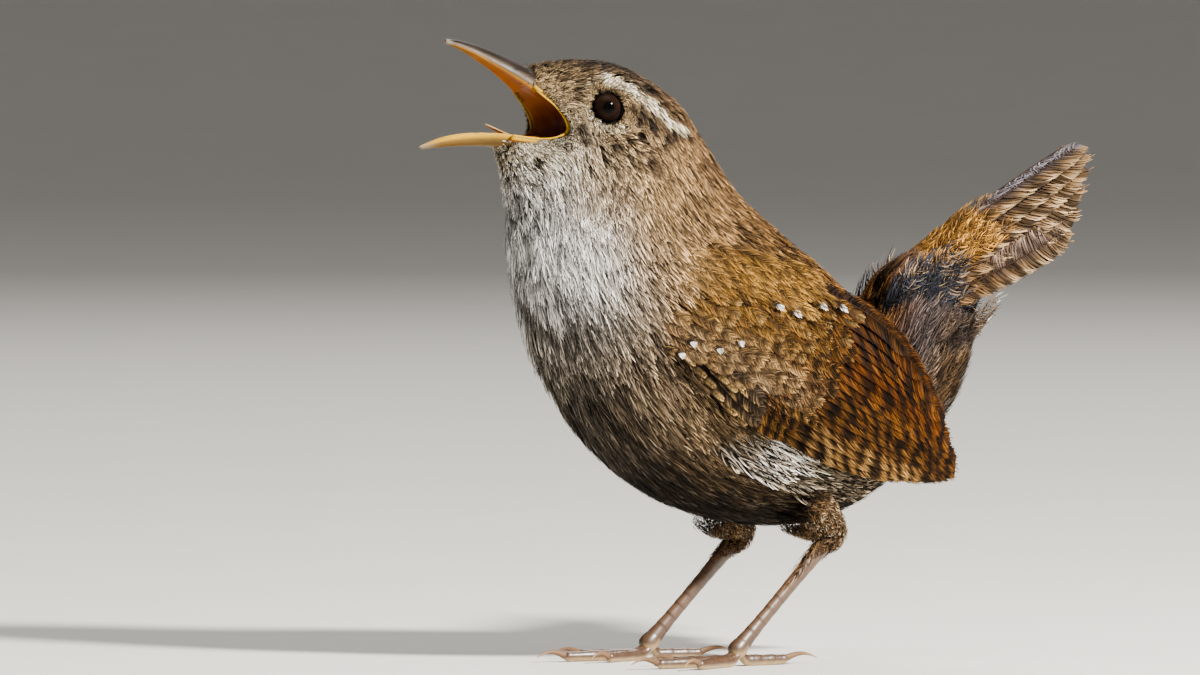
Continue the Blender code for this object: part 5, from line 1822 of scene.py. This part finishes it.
def make_claw(name, foot, heading, length, claw, finish):
    """A curved claw from the end of a toe."""
    stations = []
    for s in steps(CLAW_STEPS):
        rise = 0.85 * math.sin(math.pi * s * 0.8) - 0.6 * s
        slope = 0.85 * math.pi * 0.8 * math.cos(math.pi * s * 0.8) - 0.6
        lean = math.atan2(slope, -0.9 * claw) - math.pi / 2
        radius = mix(0.5, 0.06, s**0.9)
        reach = -(length - 0.25) - claw * 0.95 * s
        stations.append((reach, TOE_AXIS_HEIGHT + 0.08 + rise, lean, 0.72 * radius, radius))
    talon = swept(f"talon_{name}", ROUND[::2], stations)

    def paint(points, normals):
        along = (ahead_of(foot, heading, points) - length) / claw
        colour = tint(CLAW_HORN, CLAW_TIP, smooth(0.3, 1.0, along))
        return tint(colour, CLAW_HORN * 0.6, 0.5 * smooth(0.3, 0.9, normals[:, 2]))

    settle(talon, finish, paint, (f"claw_{name}",), heading, (foot.x, foot.y, 0))


# Materials


class Value:
    """The output of a shader node, with arithmetic that adds the nodes it needs."""

    def __init__(self, tree, socket):
        self.tree = tree
        self.socket = socket

    def node(self, kind, settings=(), output=0, **inputs):
        """Adds a node: its settings first, then the values or links of its sockets."""
        made = self.tree.nodes.new("ShaderNode" + kind)
        for name, value in dict(settings).items():
            setattr(made, name, value)
        for name, value in inputs.items():
            slot = made.inputs[int(name[1:])] if name[0] == "_" else made.inputs[name.replace("_", " ")]
            if isinstance(value, Value):
                self.tree.links.new(value.socket, slot)
            else:
                slot.default_value = value
        return Value(self.tree, made.outputs[output])

    def math(self, operation, first, second=0.0):
        return self.node("Math", {"operation": operation}, _0=first, _1=second)

    def __add__(self, other):
        return self.math("ADD", self, other)

    __radd__ = __add__

    def __sub__(self, other):
        return self.math("SUBTRACT", self, other)

    def __rsub__(self, other):
        return self.math("SUBTRACT", other, self)

    def __mul__(self, other):
        return self.math("MULTIPLY", self, other)

    __rmul__ = __mul__

    def __truediv__(self, other):
        return self.math("DIVIDE", self, other)

    def __rtruediv__(self, other):
        return self.math("DIVIDE", other, self)

    def __pow__(self, other):
        return self.math("POWER", self, other)

    def between(self, low, high, first=0.0, last=1.0):
        """This value taken from low to high, as a number from first to last, with soft ends."""
        settings = {"interpolation_type": "SMOOTHSTEP"}
        return self.node(
            "MapRange", settings, Value=self, From_Min=low, From_Max=high, To_Min=first, To_Max=last
        )

    def blend(self, first, second):
        """A colour between two, by this value."""
        return self.node("Mix", {"data_type": "RGBA"}, 2, _0=self, _6=first, _7=second)


class Finish:
    """A material with its shader, and the places on its piece that patterns follow."""

    def __init__(self, name, **constants):
        self.material = bpy.data.materials.new(name)
        self.material.use_nodes = True
        self.tree = self.material.node_tree
        self.shader = self.tree.nodes["Principled BSDF"]
        self.places = Value(self.tree, None).node("TexCoord", output="Object")
        for socket, value in constants.items():
            self.shader.inputs[socket.replace("_", " ")].default_value = value

    def noise(self, scale, detail, roughness, stretch=None):
        at = self.places
        if stretch:
            at = self.places.node("Mapping", Vector=self.places, Scale=stretch)
        return at.node("TexNoise", {}, "Fac", Vector=at, Scale=scale, Detail=detail, Roughness=roughness)

    def painted(self):
        return self.places.node("Attribute", {"attribute_name": "Markings"}, "Color")

    def feed(self, **links):
        for socket, value in links.items():
            self.tree.links.new(value.socket, self.shader.inputs[socket.replace("_", " ")])
        return self

    def bump(self, height, strength, distance):
        made = self.places.node("Bump", Height=height, Strength=strength, Distance=distance)
        return self.feed(Normal=made)


def rgb(colour):
    return (*[float(c) for c in colour], 1.0)


def marked(look, grain, dark, light):
    """The piece's painted markings, made darker and lighter by a grain."""
    shade = grain.between(0.3, 0.7, dark, light)
    grey = grain.node("CombineColor", {}, 0, Red=shade, Green=shade, Blue=shade)
    settings = {"data_type": "RGBA", "blend_type": "MULTIPLY"}
    colour = grain.node("Mix", settings, 2, _0=1.0, _6=look.painted(), _7=grey)
    return look.feed(Base_Color=colour).material


def plumage_finish():
    look = Finish("plumage", Roughness=0.6, Specular_IOR_Level=0.04)
    return marked(look, look.noise(420, 3, 0.6), 0.82, 1.18)


def horn_finish():
    look = Finish("horn", Roughness=0.45, Coat_Weight=0.04, Coat_Roughness=0.3, Specular_IOR_Level=0.09)
    streaks = look.noise(900, 4, 0.6, (1, 0.25, 1))
    look.bump(streaks, 0.25, 0.0001)
    look.feed(Roughness=streaks.between(0.3, 0.75, 0.36, 0.56))
    return marked(look, streaks, 0.8, 1.12)


def leg_finish():
    look = Finish(
        "leg_skin", Roughness=0.4, Coat_Weight=0.25, Coat_Roughness=0.25, Subsurface_Weight=0.04,
        Subsurface_Scale=0.0006,
    )
    grain = look.noise(1500, 4, 0.65)
    look.bump(grain, 0.3, 0.00008)
    return marked(look, grain, 0.82, 1.14)


def lid_finish():
    look = Finish("eyelid", Roughness=0.75, Specular_IOR_Level=0.1)
    return marked(look, look.noise(2200, 3, 0.6), 0.7, 1.3)


def flesh_finish():
    look = Finish("flesh", Roughness=0.45, Coat_Weight=0.1, Coat_Roughness=0.2, Specular_IOR_Level=0.12)
    grain = look.noise(800, 4, 0.6)
    look.bump(grain, 0.25, 0.0001)
    return marked(look, grain, 0.85, 1.12)


def eye_finish():
    look = Finish(
        "eye", Roughness=0.5, Specular_IOR_Level=0.0, Coat_Weight=1.0, Coat_Roughness=0.01,
        Coat_IOR=1.1,
    )
    return marked(look, look.noise(1300, 3, 0.6), 0.75, 1.3)


def floor_finish():
    look = Finish("floor", Roughness=0.75)
    grain = look.noise(35, 4, 0.6)
    colour = grain.blend(rgb(tone(204, 202, 197)), rgb(tone(210, 208, 203)))
    return look.feed(Base_Color=colour).material


# Skin


SKIN_ROWS = 150
SKIN_SIDES = 72
# Round each eye the skin lies this much deeper, behind the lid.
EYE_HOLLOW = 0.85
# How light the skin is by the eyes and the mouth, and how much lighter under the coat: all of it painted
# dark, as painted shade under the feathers.
SKIN_DARK = 0.004
SKIN_LIGHT = 0.11
# Further forward than the bill's tip, and above the head and below the throat there.
FRONT_TOP = (-40.0, 80.0)
FRONT_LOW = (-40.0, 57.8)


def make_skin(finish):
    """One skin under the whole coat, painted dark as painted shade, cut open at the mouth."""
    around = np.linspace(-math.pi, math.pi, SKIN_SIDES, endpoint=False)
    turn, t = np.meshgrid(around, np.linspace(0, BODY_END, SKIN_ROWS))
    outer = body_at(t, turn)
    by_eye = eye_gap(outer.reshape(-1, 3)).reshape(t.shape)
    points = body_at(t, turn, -coat_depth(t) - EYE_HOLLOW * (1 - smooth(2.0, 3.0, by_eye)))
    base = body_tone(t, turn)[0]
    bare = np.minimum(smooth(2.0, 3.4, by_eye), smooth(0.3, 1.5, mouth_gap(outer)))
    colours = head_marks(outer, base, 0.5) * (SKIN_DARK + SKIN_LIGHT * bare)[..., None]
    skin = mesh_piece(
        "skin", points.reshape(-1, 3), tube_faces(SKIN_ROWS, SKIN_SIDES)[:, [0, 3, 2, 1]], finish,
        colours.reshape(-1, 3),
        replaces=("head", "neck", "torso", "rump", "thigh_left", "thigh_right"),
    )
    notch = notch_piece()
    bpy.context.view_layer.objects.active = skin
    skin.modifiers.new("mouth", "BOOLEAN").object = notch
    apply_all(skin)
    bpy.data.objects.remove(notch)


def notch_piece():
    """The open mouth's room behind its lining, to be cut from the skin."""
    q, p = np.meshgrid([-2.2, *np.linspace(-1, 1, 17), 2.2], np.linspace(0, 5, 24))
    here, away = gape_place(p)
    half, deep = lining_at(p)
    depth = deep * (1 - np.minimum(np.abs(q), 1) ** 2) ** 0.9 + 0.3
    wall = np.concatenate([(q * half)[..., None], here + away * depth[..., None]], -1)
    x = wall[:1, :, :1]
    front, under = (np.concatenate([x, x * 0 + spot], -1) for spot in (FRONT_TOP, FRONT_LOW))
    points = np.concatenate([front, wall, under])
    spot = np.arange(points[..., 0].size).reshape(points.shape[:2])
    there = np.roll(spot, -1, axis=0)
    around = np.stack([spot[:, :-1], there[:, :-1], there[:, 1:], spot[:, 1:]], -1).reshape(-1, 4)
    mesh = bpy.data.meshes.new("notch")
    faces = [spot[:, 0].tolist(), spot[:, -1].tolist(), *around.tolist()]
    mesh.from_pydata(place(points.reshape(-1, 3)).tolist(), [], faces)
    paint_on(mesh, MOUTH_DEEP)
    piece = linked("notch", mesh)
    bpy.ops.object.select_all(action="DESELECT")
    piece.select_set(True)
    bpy.context.view_layer.objects.active = piece
    edit(bpy.ops.mesh.normals_make_consistent, inside=False)
    return piece


# Stage


CAMERA_AZIMUTH = math.radians(63)
CAMERA_RISE = math.radians(2)
CAMERA_DISTANCE = 1.149
CAMERA_TARGET = (-5.48, -10.75, 37.4)
CAMERA_LENS = 300
CAMERA_WIDTH = 36
# The studio floor: radius and height of each ring of a shallow dish, flat under the bird.
FLOOR_RINGS = (
    (1.6, 0.0), (2.0, 0.02), (2.4, 0.09), (2.8, 0.22),
    (3.2, 0.44), (3.5, 0.75), (3.7, 1.15), (3.8, 1.7),
)
# Lamps: name, place, what it points at, width, watts and colour.
LAMPS = (
    ("ceiling", (0.3, 0, 2.4), (0, 0, 0), 1.6, 19.0, (1.0, 0.99, 0.97)),
    ("key", (0.58, 0.2, 0.46), (0, 0, 0.04), 0.1, 30.0, (1.0, 0.95, 0.87)),
    ("fill", (0.3, -0.6, 0.3), (0, 0, 0.04), 0.4, 0.15, (0.92, 0.96, 1.0)),
    ("far", (-0.72, 0.46, 0.95), (0, 0, 0.04), 0.6, 10.0, (1.0, 0.97, 0.93)),
)
SKY_COLOUR = (0.86, 0.88, 0.92, 1)
SKY_STRENGTH = 0.05


def make_floor(finish):
    """A pale floor that curves up far behind the bird, whichever side it is seen from."""
    floor = add_shape("circle", "floor", vertices=96, radius=FLOOR_RINGS[0][0], fill_type="NGON")
    bpy.ops.object.mode_set(mode="EDIT")
    bpy.ops.mesh.select_all(action="SELECT")
    bpy.ops.mesh.inset(thickness=1.2, depth=0)
    bpy.ops.mesh.select_all(action="SELECT")
    bpy.ops.mesh.region_to_loop()
    for (r0, z0), (r1, z1) in zip(FLOOR_RINGS, FLOOR_RINGS[1:]):
        bpy.ops.mesh.extrude_edges_move(TRANSFORM_OT_translate={"value": (0, 0, z1 - z0)})
        bpy.ops.transform.resize(value=(r1 / r0, r1 / r0, 1), center_override=(0, 0, z1))
    bpy.ops.object.mode_set(mode="OBJECT")
    bpy.ops.object.shade_smooth()
    floor.data.materials.append(finish)


def aimed(name, data, spot, ahead):
    """A lamp or a camera at a spot, looking ahead."""
    thing = linked(name, data)
    thing.location = spot
    thing.rotation_euler = ahead.to_track_quat("-Z", "Y").to_euler()
    return thing


def make_lamp(name, spot, aim, size, watts, colour):
    lamp = bpy.data.lights.new(name, "AREA")
    lamp.shape = "DISK"
    lamp.size = size
    lamp.energy = watts
    lamp.color = colour
    aimed(name, lamp, spot, Vector(aim) - Vector(spot))


def make_sky():
    sky = bpy.data.worlds.new("studio")
    sky.use_nodes = True
    backdrop = sky.node_tree.nodes["Background"]
    backdrop.inputs["Color"].default_value = SKY_COLOUR
    backdrop.inputs["Strength"].default_value = SKY_STRENGTH
    bpy.context.scene.world = sky


def make_camera():
    camera = bpy.data.cameras.new("camera")
    camera.lens = CAMERA_LENS
    camera.sensor_width = CAMERA_WIDTH
    camera.clip_start = 0.05
    camera.clip_end = 20
    back = Vector((
        math.sin(CAMERA_AZIMUTH) * math.cos(CAMERA_RISE),
        -math.cos(CAMERA_AZIMUTH) * math.cos(CAMERA_RISE),
        math.sin(CAMERA_RISE),
    ))
    spot = Vector(place(CAMERA_TARGET)) + back * CAMERA_DISTANCE
    bpy.context.scene.camera = aimed("camera", camera, spot, -back)


def main():
    plumage = plumage_finish()
    horn, leg_skin, lid_skin, flesh = horn_finish(), leg_finish(), lid_finish(), flesh_finish()
    make_bill(horn)
    make_mouth(flesh)
    make_tongue(flesh)
    for word, leg in LEGS.items():
        make_eyeball(word, leg["side"], eye_finish())
        make_eyelid(word, leg["side"], lid_skin)
        make_shank(word, leg, leg_skin)
        make_foot(word, leg, leg_skin, horn)
    make_skin(plumage)
    make_body_coat(plumage)
    make_wing("left", 1, plumage)
    make_wing("right", -1, plumage)
    make_tail(plumage)
    make_thigh_coat(plumage)
    make_floor(floor_finish())
    make_sky()
    for lamp in LAMPS:
        make_lamp(*lamp)
    make_camera()


main()
